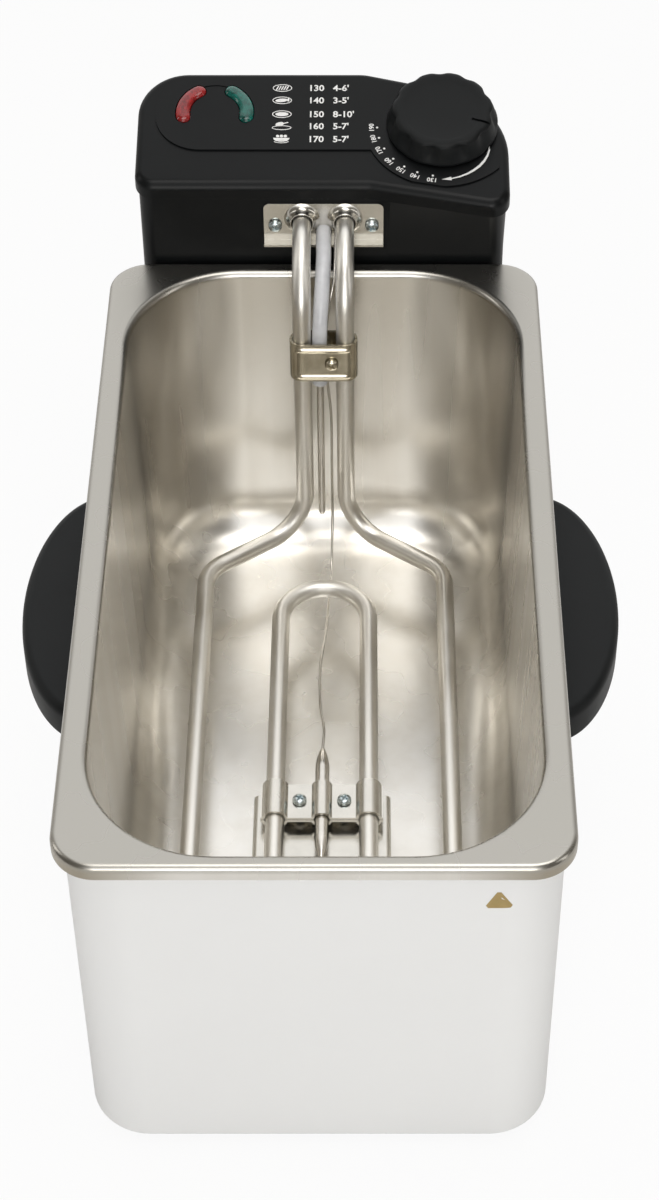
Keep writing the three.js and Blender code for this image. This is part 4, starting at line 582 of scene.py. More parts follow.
# %% Lenses and silicone
def tinted(name, deep, pale, scale, coat=0.35):
    grain = (420, 2, 0.12, 0.5)
    shader = wandering(name, deep, pale, 0.0, 0.16, (scale, 3), (0.35, 0.62), (0.12, 0.24), grain)
    fill(shader, {"Subsurface Weight": 0.35, "Subsurface Scale": 0.003, "Subsurface Radius": (1.0, 1.0, 1.0),
                  "Coat Weight": coat, "Coat Roughness": 0.05})


tinted("red lens", (0.11, 0.003, 0.004), (0.33, 0.013, 0.014), 190)
tinted("green lens", (0.0008, 0.045, 0.036), (0.003, 0.135, 0.105), 190)
tinted("silicone", (0.60, 0.61, 0.64), (0.78, 0.79, 0.82), 70, 0.15)
print("finishes:", len(finishes))

# %% [markdown]
# The nodes whose CAD shape already is right keep it, and only get their finish. They are the screws
# inside, the rails behind the housing, the base plate and what sits inside the head. Each slot's name
# says its finish, and only the stainless one means the pot's steel.

# %% Finish the carried-over nodes
SLOT_FINISH = {"stainless": "pot steel"}
subparts = frame["record"]["subparts"]
for entry in subparts:
    slot = entry["material_slot"]
    slots = frame["nodes"][entry["node"]].data.materials
    slots.clear()
    slots.append(finishes[SLOT_FINISH.get(slot, slot.replace("_", " "))])
print("nodes with a finish:", len(subparts))

# %% [markdown]
# ## The pot
# The pot is one sheet of steel. Its flange rests on the housing, its edge turns down all round, and its
# mouth rolls over into walls that lean in a little and meet the floor in a wide curve. Two stacks of
# outlines describe it: the mouth's, which has large corners, and the rim's, which has small ones. A
# skin that runs down the inside and back up the outside gives the sheet its thickness.

# %% Draw the pot
ROLL = 3
FLOOR_CURVE = 25
EDGE = 2.4
LIP = 6.5
WALL_LEAN = 3
POT_STEPS = 18
CURVE_Z = FLOOR_Z + FLOOR_CURVE
mouth_corners = rectangle(83.5, 7, 337, 48)
rim_corners = rectangle(pot_high.x, 0, pot_high.y, 17)


def mouth_ring(inset, z):
    return lift(outline(mouth_corners, inset, POT_STEPS), z)


def rim_ring(inset, z):
    return lift(outline(rim_corners, inset, POT_STEPS), z)


def pot_face(under):
    """The walls and the floor's curve, on the sheet's upper face or its lower one."""
    roll = ROLL - under
    curve = FLOOR_CURVE + under
    top = RIM_Z - ROLL
    rings = [mouth_ring(roll * math.cos(a) - ROLL, top + roll * math.sin(a)) for a in reversed(quarter(6))]
    rings += [mouth_ring(WALL_LEAN * share, top + (CURVE_Z - top) * share)
              for share in (0.02, 0.35, 0.7, 0.98)]
    rings += [mouth_ring(WALL_LEAN + FLOOR_CURVE - curve * math.cos(a), CURVE_Z - curve * math.sin(a))
              for a in quarter(10)]
    return rings + [mouth_ring(WALL_LEAN + FLOOR_CURVE + 3, FLOOR_Z - under)]


def pot_edge(under):
    radius = EDGE - under
    bend = [rim_ring(EDGE - radius * math.cos(a), RIM_Z - EDGE + radius * math.sin(a)) for a in quarter(5)]
    return [rim_ring(EDGE + 0.8, RIM_Z - under)] + bend[::-1]


lip = [rim_ring(depth, RIM_Z - LIP) for depth in (0, SHEET)]
inside = list(reversed(pot_face(0))) + pot_edge(0) + [lip[0]]
outside = [lip[1]] + list(reversed(pot_edge(SHEET))) + pot_face(SHEET)
pot = piece_from("steel_pot", [inside + outside], sharp=50)
hand_over(pot, "pot steel", "pot", "stainless", "inner_pot")
print("pot:", len(pot.data.polygons), "faces, floor at", round(FLOOR_Z, 1))

# %% [markdown]
# ## The housing
# The housing is a white painted wrap with rounded corners, closed below by a flange and a black base
# plate on four rubber feet. At the top a narrow return carries the pot's flange. The same ring method
# serves, with a small bend at the wall's foot. The screw holes in it are hidden by the handles and the
# rails, so they are drilled only in the CAD piece.

# %% Wrap the housing
HOUSE_CORNER = 24
HOUSE_TOP, HOUSE_BOTTOM = house_high.z, house_low.z
BEND = 2
house_corners = rectangle(house_high.x, house_low.y, house_high.y, HOUSE_CORNER)


def house_ring(inset, z):
    return lift(outline(house_corners, inset, 14), z)


def house_bend(radius, steps):
    """The bend at the wall's foot, from the wall down to the flange under the housing."""
    return [house_ring(BEND - radius * math.cos(a), HOUSE_BOTTOM + BEND - radius * math.sin(a))
            for a in quarter(steps)]


outer = [house_ring(1.5, HOUSE_TOP), house_ring(0.3, HOUSE_TOP), house_ring(0, HOUSE_TOP - 0.4),
         house_ring(0, HOUSE_TOP - 8), house_ring(0, HOUSE_BOTTOM + BEND + 2)] + house_bend(BEND, 5)
outer += [house_ring(BEND + 1, HOUSE_BOTTOM), house_ring(14, HOUSE_BOTTOM),
          house_ring(14, HOUSE_BOTTOM + SHEET)]
inner = house_bend(BEND - SHEET, 3)[::-1]
inner += [house_ring(SHEET, HOUSE_TOP - SHEET), house_ring(1.5, HOUSE_TOP - SHEET)]
house = piece_from("painted_housing", [outer + inner], closed=True, sharp=50)
hand_over(house, "white paint", "housing", "white_paint", "housing_shell")
print("housing:", len(house.data.polygons), "faces")

# %% [markdown]
# A rubber foot is a small turned button with a soft edge. One profile serves all four.

# %% Turn the feet
FOOT = [(0.5, 0), (7.2, 0), (8.4, 0.35), (9, 1.1), (9, 4.4), (8.6, 5), (3, 5), (3, 8.1),
        (4.2, 8.1), (3.6, 9.2), (2.4, 9.6)]
for number in range(1, 5):
    low, high = box_mm(f"foot_{number}")
    middle = (low + high) / 2
    foot = piece_from(f"rubber_foot_{number}", [turned(FOOT, 40)],
                      place=Matrix.Translation((middle.x, middle.y, 0)))
    hand_over(foot, "rubber", "housing", "rubber", f"foot_{number}")
print("feet: 4")

# %% [markdown]
# ## The side handles
# Each handle is half an oval of black plastic, flat on top, open below for the fingers and screwed on
# from inside the housing. Rings of that plan are stacked: first the hollow's roof and sides, then round
# the bottom edge, up the outside and over a soft top edge. Two short bosses inside take the screws.

# %% Mould the handles
HANDLE_Y, HANDLE_HALF = 175, 64.5
GRIP_WALL, GRIP_EDGE = 3, 4
BOSS_OUT, BOSS_Z, BOSS_R = 42, 125, 4


def half_oval(root, reach_out, inset, side, steps=56):
    """Half an oval in plan: a straight root against the housing and a curve, moved in by inset."""
    reach = reach_out - root - inset
    half = HANDLE_HALF - inset
    limit = math.acos((GRIP_WALL if inset > GRIP_EDGE else 0) / reach)
    turns = [limit * (1 - 2 * i / steps) for i in range(steps + 1)]
    points = [Vector((side * (root + reach * math.cos(a)), HANDLE_Y + half * math.sin(a))) for a in turns]
    return points if side < 0 else points[::-1]


for name, side in SIDES:
    low, high = box_mm(f"handle_{name}")
    root, reach_out = sorted((abs(low.x), abs(high.x)))

    def grip_ring(inset, z):
        return lift(half_oval(root, reach_out, inset, side), z)

    rings = [grip_ring(GRIP_EDGE + 0.5, high.z - GRIP_WALL), grip_ring(GRIP_EDGE + 0.5, low.z + 0.6),
             grip_ring(GRIP_EDGE + 0.1, low.z), grip_ring(1.2, low.z), grip_ring(0.35, low.z + 0.35),
             grip_ring(0, low.z + 1.2), grip_ring(0, high.z - GRIP_EDGE - 1)]
    rings += [grip_ring(GRIP_EDGE * (1 - math.cos(a)), high.z - GRIP_EDGE * (1 - math.sin(a)))
              for a in quarter(7)]
    bosses = [tube([Vector((side * (root + out), y, BOSS_Z)) for out in (2, 8)], BOSS_R)
              for y in (HANDLE_Y - BOSS_OUT, HANDLE_Y + BOSS_OUT)]
    grip = piece_from(f"grip_{name}", [rings] + bosses, sharp=50)
    hand_over(grip, "grip plastic", "housing", "grip_plastic", f"handle_{name}")
print("handles reach", round(reach_out, 1), "mm from the middle")

# %% [markdown]
# ## The control head's case
# The case hangs behind the housing and stands up above the rim. Seen from above it is a long rounded
# box whose right end sweeps forward near the top. One outline describes it, and the sweep changes
# with the height. Round tools then open the holes for the tubes, the sensors, the button and the
# cord, and slots below let it slide on to its rails.

# %% Outline of the head
HEAD_LEFT = -82
HEAD_RIGHT = 81
HEAD_DEPTH = 65
SWEEP = 12


def head_outline(inset, sweep=SWEEP, bend_x=20, steps=14):
    flat = math.cos(TILT)
    corners = [(HEAD_LEFT, 0, 8), (bend_x, 0, 10), (HEAD_RIGHT, -sweep, 8),
               (HEAD_RIGHT, HEAD_DEPTH - 16, 37), (18, HEAD_DEPTH, 20), (HEAD_LEFT, HEAD_DEPTH, 22)]
    return outline([(x, HEAD_Y + s * flat, r) for x, s, r in corners], inset, steps)


def under_panel(drop):
    """Height of the panel's plane above a point, less a drop."""
    return lambda p: RIM_Z + HEAD_RISE + (p.y - HEAD_Y) * math.tan(TILT) - drop


print("head outline:", len(head_outline(0)), "points")

# %% [markdown]
# The case is a box with one opening, at the top. Its rings start on the floor inside, climb the inner
# walls, cross to the outer ones under the cover and come down again to a softly rounded foot.

# %% Stack the case
CASE_BOTTOM = case_low.z
WALL = 2.2
SKIRT = 8.3
CASE_EDGE = 4
SWEEP_START = RIM_Z + 4
flare_z = RIM_Z + 31.2
flare = SWEEP * (flare_z - RIM_Z) / (HEAD_RISE - SKIRT)


def low_ring(inset, z):
    return lift(head_outline(inset, 0.5, 28), z)


def flared_ring(inset):
    return lift(head_outline(inset, flare, 28), flare_z)


within = CASE_IN + WALL
inner_floor = CASE_BOTTOM + WALL
hollow = [low_ring(within + 4, inner_floor), low_ring(within + 1.2, inner_floor + 1.2),
          low_ring(within, inner_floor + 4), low_ring(within, SWEEP_START), flared_ring(within),
          lift(head_outline(within), under_panel(SKIRT))]
shell = [lift(head_outline(CASE_IN), under_panel(SKIRT)), flared_ring(CASE_IN),
         low_ring(CASE_IN, SWEEP_START), low_ring(CASE_IN, CASE_BOTTOM + CASE_EDGE + 1)]
shell += [low_ring(CASE_IN + CASE_EDGE * (1 - math.cos(a)), CASE_BOTTOM + CASE_EDGE * (1 - math.sin(a)))
          for a in quarter(6)]
case = piece_from("head_shell", [hollow + shell], sharp=40)
print("case:", len(case.data.polygons), "faces before its holes")

# %% [markdown]
# Holes need tools. The tubes, the sleeve, the capillary and two screws pass the front wall, and the same
# set of tools, a little wider, serves the mounting plate later. Narrow slots with wider mouths let the
# head slide on to its rails.

# %% Open the case
TUBE_X, TUBE_Z = 9.4, RIM_Z + 23.5
TUBE_R, TUBE_BORE = 4, 4.3
SLEEVE_Z = RIM_Z + 16.5
HAIR_R, HAIR_X, HAIR_Z = 0.6, 5.2, RIM_Z + 17
PLATE_SCREW_X, PLATE_SCREW_Z = 21.2, RIM_Z + 20
CUTOUT_X, BUTTON_Z = -30, CASE_BOTTOM + 55
GLAND_X, GLAND_Z = -45, CASE_BOTTOM + 16
SCREW_BORE = 1.8
CASE_BACK = case_high.y
LID_SCREWS = [(x, CASE_BACK, under_panel(15)(Vector((0, CASE_BACK)))) for x in (-26, 8)]
RAIL_SLOT, RAIL_MOUTH = (44.6, 47.4), (44.6, 53.4)


def front_tools(y, length, tube_bore, tube_sides, screw_bore, screw_sides):
    """Drills for all that passes the head's front wall at a given depth."""
    tools = [drill(tube_bore, (side * TUBE_X, y, TUBE_Z), back, length, tube_sides) for side in (-1, 1)]
    tools.append(drill(3.7, (0, y, SLEEVE_Z), back, length))
    tools.append(drill(HAIR_R + SEAT_GAP, (HAIR_X, y, HAIR_Z), back, length, 16))
    return tools + [drill(screw_bore, (side * PLATE_SCREW_X, y, PLATE_SCREW_Z), back, length, screw_sides)
                    for side in (-1, 1)]


holes = front_tools(CASE_Y, 16, TUBE_BORE, 32, 1.6, 16)
holes += [drill(SCREW_BORE, at, back, 16, 16) for at in LID_SCREWS]
holes.append(drill(4.4, (CUTOUT_X, CASE_BACK, BUTTON_Z), back, 16))
holes.append(drill(7.3, (GLAND_X, CASE_BACK, GLAND_Z), back, 16))
plunger_low, plunger_high = box_mm("interlock_plunger")
plunger = (plunger_low + plunger_high) / 2
holes.append(drill(2.4, (plunger.x, plunger.y, CASE_BOTTOM), upward, 12))
under_case = CASE_BOTTOM - 1
mouths = []
for side in (-1, 1):
    x0, x1 = sorted(side * x for x in RAIL_SLOT)
    holes.append(block("slot", x0, x1, CASE_Y - 3, CASE_Y + WALL + 3, under_case, RIM_Z - 33.7))
    x0, x1 = sorted(side * x for x in RAIL_MOUTH)
    mouths.append(block("mouth", x0, x1, CASE_Y + 1.7, CASE_Y + 5.4, under_case, inner_floor + 4))
shaped(case, "DIFFERENCE", *holes)
pierce(case, 40, *mouths)
hand_over(case, "black plastic", "head", "black_plastic", "head_case")
print("case:", len(case.data.polygons), "faces with", len(holes) + len(mouths), "openings")

# %% [markdown]
# ## The sloping cover
# The cover is a lid with a soft edge all round, standing slightly proud of the case so that a thin
# shadow line shows between them. Two curved windows for the lamps and a round hole for the dial's
# shaft go through it.

# %% Mould the cover
EDGE_R = 3.5
COVER_FOOT = 8
RED_SPAN, GREEN_SPAN = (121, 191), (-11, 59)
LENS_RING, LENS_HALF = 14.1, 3.1


def cover_ring(inset, drop):
    return lift(head_outline(inset), under_panel(drop))


def arc_band(span, grow=0, steps=20):
    """The plan of a lamp's lens: a band of a ring with round ends, grown or shrunk all round."""
    half = LENS_HALF + grow
    start, end = (math.radians(a) for a in span)

    def at(angle, radius):
        return Vector((LAMP_X + radius * math.cos(angle), LAMP_Y + radius * math.sin(angle)))

    def cap(angle, first):
        turns = [angle + first + math.pi * i / 8 for i in range(1, 8)]
        return [at(angle, LENS_RING) + Vector((math.cos(a), math.sin(a))) * half for a in turns]

    points = [at(start + (end - start) * i / steps, LENS_RING + half) for i in range(steps + 1)]
    points += cap(end, 0)
    points += [at(end - (end - start) * i / steps, LENS_RING - half) for i in range(steps + 1)]
    return points + cap(start, math.pi)


def cover_tools():
    """What goes through the cover: both lenses and the dial's bush."""
    tools = [piece_from("window", [slab(arc_band(span, SEAT_GAP), -9, 3)], place=panel)
             for span in (RED_SPAN, GREEN_SPAN)]
    return tools + [drill(5.3, (dial.x, dial.y, -3), upward, 12, place=panel)]


lid = [cover_ring(EDGE_R + 0.5, WALL), cover_ring(WALL, WALL + 1.5), cover_ring(WALL, COVER_FOOT - 0.3),
       cover_ring(WALL - 0.3, COVER_FOOT), cover_ring(0.3, COVER_FOOT), cover_ring(0, COVER_FOOT - 0.3),
       cover_ring(0, EDGE_R + 0.6)]
lid += [cover_ring(EDGE_R * (1 - math.cos(a)), EDGE_R * (1 - math.sin(a))) for a in quarter(8)]
cover = piece_from("head_lid", [lid], sharp=50)
pierce(cover, 50, *cover_tools())
hand_over(cover, "black plastic", "head", "black_plastic", "head_cover")
print("cover:", len(cover.data.polygons), "faces")

# %% [markdown]
# On top of the cover lies a raised field, a rounded bar that grows into a disc round the dial. It is made
# by joining the bar and the disc, keeping what lies inside the cover's edge, and rounding the top edge
# so that it catches a fine line of light. A shallow round dish sinks the lamps in.

# %% Raise the field
FIELD_FRONT, FIELD_REAR, FIELD_LEFT = 19, 62.4, HEAD_LEFT + 8
DISC_R, DISC_STEPS, DISH_R = 34, 128, 15.6
UNDER_FIELD = -1.3
bar = outline([(FIELD_LEFT, FIELD_FRONT, 20), (dial.x, FIELD_FRONT, 1), (dial.x, FIELD_REAR, 1),
               (FIELD_LEFT, FIELD_REAR, 20)], 0, 20)
turns = [math.tau * i / DISC_STEPS for i in range(DISC_STEPS)]
disc = [Vector((dial.x + DISC_R * math.cos(a), dial.y + DISC_R * math.sin(a))) for a in turns]
field = piece_from("raised_field", [slab(bar, UNDER_FIELD, 0)], place=panel)
shaped(field, "UNION", piece_from("disc", [slab(disc, UNDER_FIELD, 0)], place=panel))
shaped(field, "INTERSECT", piece_from("keep", [slab(head_outline(4.5), RIM_Z, RIM_Z + 90)]))
soften(field, 0.55, 3, 40)
shaped(field, "DIFFERENCE", drill(DISH_R, (LAMP_X, LAMP_Y, 1), upward, 2.7, 96, place=panel))
soften(field, 0.25, 2, 60)
pierce(field, 50, *cover_tools())
hand_over(field, "black plastic", "head", "black_plastic", "head_cover")
print("field:", len(field.data.polygons), "faces")

# %% [markdown]
# ## The lamps' lenses
# Each lens is a curved pill of clear tinted plastic that stands a little proud of the field. Its plan
# is a band of a ring with round ends. Shrinking that plan step by step while it rises gives the
# pillow-like top, and a shoulder under the cover holds it in.

# %% Mould the lenses
SHOULDER, LENS_EDGE, LENS_RISE = -3.4, -0.4, 1.6
for name, span in (("red", RED_SPAN), ("green", GREEN_SPAN)):
    stack = [lift(arc_band(span, grow), z) for grow, z in ((1.0, SHOULDER - 1), (1.0, SHOULDER),
                                                           (0, SHOULDER + 0.1), (0, LENS_EDGE))]
    stack += [lift(arc_band(span, -2.9 * (1 - math.cos(a))), LENS_EDGE + LENS_RISE * math.sin(a))
              for a in quarter(8)[1:]]
    glass = piece_from(f"{name}_lens", [stack], sharp=50, place=panel)
    hand_over(glass, f"{name} lens", "head", f"{name}_lens", f"lens_{name}")
print("lenses stand", round(LENS_EDGE + LENS_RISE, 1), "mm proud")

# %% [markdown]
# ## The dial knob
# The knob is a moulded cap with eleven shallow finger scallops, a skirt at its foot and a slightly
# dished top with a pointer groove. A scallop is a ripple in the radius, deepest on the upper half and
# fading towards the skirt and the top. The cap is hollow, so the rings start on the inside.

# %% Mould the knob
KNOB_R, KNOB_TOP_R, KNOB_TOP, KNOB_FOOT = 24.5, 21.5, 11, 0.8
LOBES = 11
OFF_ANGLE = math.radians(-22)
knob_place = panel @ Matrix.Translation((dial.x, dial.y, 0)) @ Matrix.Rotation(OFF_ANGLE, 4, "Z")


def scallops(radius, depth, z, sides=LOBES * 20):
    """A circle with finger hollows: broad lobes with a narrower valley between two of them."""
    ring = []
    for i in range(sides):
        a = math.tau * i / sides
        ripple = (1 - math.cos(LOBES * a)) / 2
        r = radius - depth * ripple ** 2
        ring.append(Vector((r * math.cos(a), r * math.sin(a), z)))
    return ring


KNOB_IN, KNOB_ROOF = 19, 8.5
cap = [scallops(KNOB_IN, 0, KNOB_ROOF), scallops(KNOB_IN, 0, KNOB_FOOT + 0.2),
       scallops(KNOB_R - 0.9, 0.2, KNOB_FOOT),
       scallops(KNOB_R - 0.3, 0.3, KNOB_FOOT + 0.3), scallops(KNOB_R, 0.3, KNOB_FOOT + 0.9),
       scallops(KNOB_R - 0.1, 0.5, KNOB_FOOT + 1.8), scallops(KNOB_R - 0.6, 1.0, KNOB_FOOT + 3),
       scallops(KNOB_R - 1.1, 1.35, 5.6), scallops(KNOB_R - 1.7, 1.5, 7.6), scallops(KNOB_R - 2.2, 1.45, 9)]
cap += [scallops(KNOB_TOP_R + 0.6 - 2.8 * (1 - math.cos(a)), 1.4 - 0.9 * math.sin(a), 9.4 + 1.6 * math.sin(a))
        for a in quarter(6)]
cap += [scallops(17.2, 0.3, KNOB_TOP - 0.12), scallops(16.6, 0.1, KNOB_TOP - 0.4),
        scallops(10, 0, KNOB_TOP - 0.7), scallops(2, 0, KNOB_TOP - 0.8)]
knob = piece_from("dial_knob", [cap], sharp=60, place=knob_place)
groove = block("pointer", 13.5, 27, -0.65, 0.65, KNOB_TOP - 1.3, KNOB_TOP + 2, place=knob_place)
pierce(knob, 45, groove)
hand_over(knob, "grip plastic", "knob", "black_plastic", "knob")
print("knob:", len(knob.data.polygons), "faces")

# %% [markdown]
# ## The heating element
# One steel tube, 8 mm thick, leaves the head, turns down into the pot, spreads over the floor, runs to
# the front and comes back as a loop. Stops with bend radii describe it the way a tube bender is set.
# A thin connecting pin sticks out of each end, inside the head.

# %% Bend the heating tube
HANG_Y = 309
GROUND_Z = 50
LOOP_Y, NEAR_Y, SHOULDER_Y = 265.5, 38, 276.5
LEG_X, OUTER_X = 19.7, 54.5
PIN_R = 1.2
right_half = [(LEG_X, LOOP_Y, GROUND_Z, 19.69), (LEG_X, NEAR_Y, GROUND_Z, 17.39),
              (OUTER_X, NEAR_Y, GROUND_Z, 17.39), (OUTER_X, SHOULDER_Y, GROUND_Z, 17),
              (TUBE_X, HANG_Y, GROUND_Z, 20), (TUBE_X, HANG_Y, TUBE_Z, 28), (TUBE_X, CASE_Y + 16, TUBE_Z, 0)]
left_half = [(-x, y, z, r) for x, y, z, r in reversed(right_half)]
heater = [tube(bent_path(left_half + right_half), TUBE_R, 28)]
heater += [tube([Vector((side * TUBE_X, CASE_Y + y, TUBE_Z)) for y in (15, 25)], PIN_R, 12)
           for side in (-1, 1)]
element = piece_from("heater_tube", heater, sharp=50)
hand_over(element, "heater steel", "head", "heater_steel", "heating_element")
print("tube faces:", len(element.data.polygons))

# %% [markdown]
# ## Small pan-head screws
# The same cross-head screw is used all over. A domed head and its shank are turned as one, and a cross
# is cut into the head with two crossed blades. The pressed parts that they hold are all made of the
# same strip.


# %% A cross-head screw
PAN_R, PAN_TALL, SHANK_R = 3, 2, 1.5
DOME = [(0.45, 0.98), (0.8, 0.82), (0.97, 0.5), (1, 0.12), (0.98, 0)]
STRIP = 1.2


def cross_screw(name, at, way, node, shank=8, finish="zinc"):
    """The head's underside is at a point, and the shank runs on in the given direction."""
    profile = [(0.05, -PAN_TALL)] + [(PAN_R * r, -PAN_TALL * z) for r, z in DOME]
    profile += [(SHANK_R, 0), (SHANK_R, shank - 1.0), (0.4, shank)]
    stand = facing(at, way)
    screw = piece_from(name, [turned(profile, 32)], sharp=40, place=stand)
    wide, thin = PAN_R * 0.55, 0.42
    depth = (-PAN_TALL - 1, -PAN_TALL * 0.45)
    turn = stand @ Matrix.Rotation(0.5, 4, "Z")
    pierce(screw, 38, block("blade", -wide, wide, -thin, thin, *depth, place=turn),
           block("blade", -thin, thin, -wide, wide, *depth, place=turn))
    hand_over(screw, finish, "head", "zinc", node)


PLATE_Y = CASE_Y - SEAT_GAP - STRIP
STRAP_SCREW_X, STRAP_Y = 9.4, 137
NECK_SCREW_X, NECK_SCREW_Z = 3.55, RIM_Z - 24
clamp_front = HANG_Y - TUBE_BORE - STRIP
strap_top = GROUND_Z + 0.15 + STRIP
for name, side in SIDES:
    at = (side * PLATE_SCREW_X, PLATE_Y - SEAT_GAP, PLATE_SCREW_Z)
    cross_screw(f"plate_screw_{name}", at, back, f"bracket_screw_{name}")
for number, (x, y, z) in enumerate(LID_SCREWS, 1):
    cross_screw(f"lid_screw_{number}", (x, y + SEAT_GAP, z), forward, f"cover_screw_{number}")
cross_screw("neck_screw", (NECK_SCREW_X, clamp_front - SEAT_GAP, NECK_SCREW_Z), back, "neck_clamp_screw",
            12, "clamp steel")
for number, side in ((1, -1), (2, 1)):
    at = (side * STRAP_SCREW_X, STRAP_Y, strap_top + SEAT_GAP)
    cross_screw(f"strap_screw_{number}", at, (0, 0, -1), f"bulb_clamp_screw_{number}")
print("cross-head screws: 7")

# %% [markdown]
# ## The mounting plate
# Where the tubes leave the head, a bright pressed plate is screwed on. Its lower edge turns forward,
# and round each tube it is drawn out into a short flared collar. The plate is a rounded slab with
# softened edges, and each collar is a turned funnel that starts flat on the plate.

# %% Press the mounting plate
PLATE_LOW, PLATE_HALF = RIM_Z + 11, 26.2
PLATE_TOP = PLATE_LOW + 20.2
plate_plan = outline([(-PLATE_HALF, PLATE_LOW, 1.5), (PLATE_HALF, PLATE_LOW, 1.5),
                      (PLATE_HALF, PLATE_TOP, 2.5), (-PLATE_HALF, PLATE_TOP, 2.5)], 0, 5)
on_end = Matrix.Rotation(math.pi / 2, 4, "X")
plate = piece_from("mounting_plate", [slab(plate_plan, 0, STRIP)],
                   place=Matrix.Translation((0, PLATE_Y + STRIP, 0)) @ on_end)
fold = block("fold", -PLATE_HALF, PLATE_HALF, PLATE_Y - 4, PLATE_Y + 0.6, PLATE_LOW, PLATE_LOW + STRIP)
shaped(plate, "UNION", fold)
soften(plate, 0.35, 3, 40)
pierce(plate, 45, *front_tools(PLATE_Y, 12, 4.6, 40, SCREW_BORE, 20))
hand_over(plate, "bright steel", "head", "bright_steel", "element_bracket")
FUNNEL = [(8.0, -0.05), (7.3, 0.12), (6.6, 0.55), (6.05, 1.2), (5.65, 2.1), (5.4, 3.1), (5.3, 3.8),
          (5.15, 4), (4.75, 4), (4.6, 3.8), (4.6, -0.05)]
for name, side in SIDES:
    collar = piece_from(f"collar_{name}", [turned(FUNNEL, 48)], closed=True, sharp=60,
                        place=facing((side * TUBE_X, PLATE_Y, TUBE_Z), forward))
    hand_over(collar, "bright steel", "head", "bright_steel", "element_bracket")
print("plate:", len(plate.data.polygons), "faces")

# %% [markdown]
# ## The neck clamp
# Two pressed halves close round the hanging tubes and the sleeve between them. The front half has two
# ridges pressed along it. The band's plan is half a racetrack with the thickness of the sheet, and it
# is stacked in thin layers, so that a smooth bump in the height can push the ridges out.

# %% Close the clamp
CLAMP_LOW, CLAMP_TALL = RIM_Z - 34, 20
RIDGE_RISE, RIDGE_IN, RIDGE_HALF = 0.7, 2.6, 1.5
HALF_GAP = 0.15


def clamp_run(radius, push):
    """One face of a half from the left tube to the right one, as (across, out from the middle)."""
    points = []
    for side in (-1, 1):
        for a in (math.pi / 2 * i / 8 for i in range(9)):
            turn = a if side < 0 else math.pi / 2 - a
            y = max(radius * math.sin(turn), HALF_GAP)
            points.append((side * (TUBE_X + radius * math.cos(turn)), y + push * math.sin(turn) ** 6))
        if side < 0:
            points += [(TUBE_X * (2 * k / 12 - 1), radius + push) for k in range(1, 12)]
    return points


def clamp_half(sign, ridge):
    """Plan of one half at one height: round the outside, then back along the inside."""
    around = clamp_run(TUBE_BORE + STRIP, ridge) + clamp_run(TUBE_BORE, 0)[::-1]
    return [Vector((x, HANG_Y + sign * y)) for x, y in around]


def ridge_at(z):
    """Height of the pressed ridges: two smooth bumps, near the clamp's top and its bottom edge."""
    bump = 0
    for middle in (RIDGE_IN, CLAMP_TALL - RIDGE_IN):
        bump += (math.cos(math.pi * min(abs(z - middle) / RIDGE_HALF, 1)) + 1) / 2
    return RIDGE_RISE * bump


layers = [0, 0.15] + [0.4 * i for i in range(1, 50)] + [CLAMP_TALL - 0.15, CLAMP_TALL]
for name, sign in (("front", -1), ("back", 1)):
    stack = [lift(clamp_half(sign, ridge_at(z) if sign < 0 else 0), CLAMP_LOW + z) for z in layers]
    half = piece_from(f"clamp_{name}", [stack], sharp=45)
    pierce(half, 45, drill(SCREW_BORE, (NECK_SCREW_X, HANG_Y + 5 * sign, NECK_SCREW_Z), back, 4, 20))
    hand_over(half, "clamp steel", "head", "bright_steel", f"neck_clamp_{name}")
print("clamp layers:", len(layers))

# %% [markdown]
# ## The bulb's straps
# Two thin pressed straps hold the thermostat's bulb between the inner legs of the element. Seen from
# the front each is a flat band that arches over both legs and over the bulb. At each place the highest
# arch gives that line, and the strap is that line given thickness and drawn along the fryer.

# %% Press the straps
STRAP_FRONT, STRAP_REAR = 127.8, 146.2
STRAP_HALF, STRAP_STEPS = 25.7, 90
BULB_BORE = 3.3


def strap_holes(z, length):
    return [drill(SCREW_BORE, (side * STRAP_SCREW_X, STRAP_Y, z), upward, length, 20) for side in (-1, 1)]


def arch(x, thick):
    """Height of a strap's line above the plane between the two straps."""
    height = HALF_GAP + thick
    for centre, radius in ((-LEG_X, TUBE_BORE), (LEG_X, TUBE_BORE), (0, BULB_BORE)):
        reach = (radius + thick) ** 2 - (x - centre) ** 2
        if reach > 0:
            height = max(height, math.sqrt(reach))
    return height


def strap_line(sign):
    across = [STRAP_HALF * (i / STRAP_STEPS - 1) for i in range(2 * STRAP_STEPS + 1)]
    under = [Vector((x, sign * arch(x, 0))) for x in across]
    return under + [Vector((x, sign * arch(x, STRIP))) for x in reversed(across)]


for name, sign in (("top", 1), ("bottom", -1)):
    line = strap_line(sign)
    strap = piece_from(f"strap_{name}", [slab(line, -STRAP_FRONT, -STRAP_REAR)], sharp=40,
                       place=Matrix.Translation((0, 0, GROUND_Z)) @ on_end)
    pierce(strap, 40, *strap_holes(GROUND_Z + sign, 4))
    hand_over(strap, "bright steel", "head", "bright_steel", f"bulb_clamp_{name}")
print("straps:", len(line), "points along the line")

# %% [markdown]
# Under the straps a folded plate stands on the pot's floor and carries the element. It is a flat plate
# with two legs, bent with a small radius.

# %% Fold the support
support_low, support_high = box_mm("element_support")
FOLD_R = 2.4


def support_line(inset):
    """The fold seen from the front: up one leg, over and down the other."""
    x, top, foot = support_high.x - inset, support_high.z - inset, support_low.z
    stops = [Vector((-x, foot)), Vector((-x, top)), Vector((0, top)), Vector((x, top)), Vector((x, foot))]
    bends = [round_corner(*stops[i:i + 3], FOLD_R - inset, 6) for i in (0, 2)]
    return stops[:1] + bends[0] + bends[1] + stops[-1:]


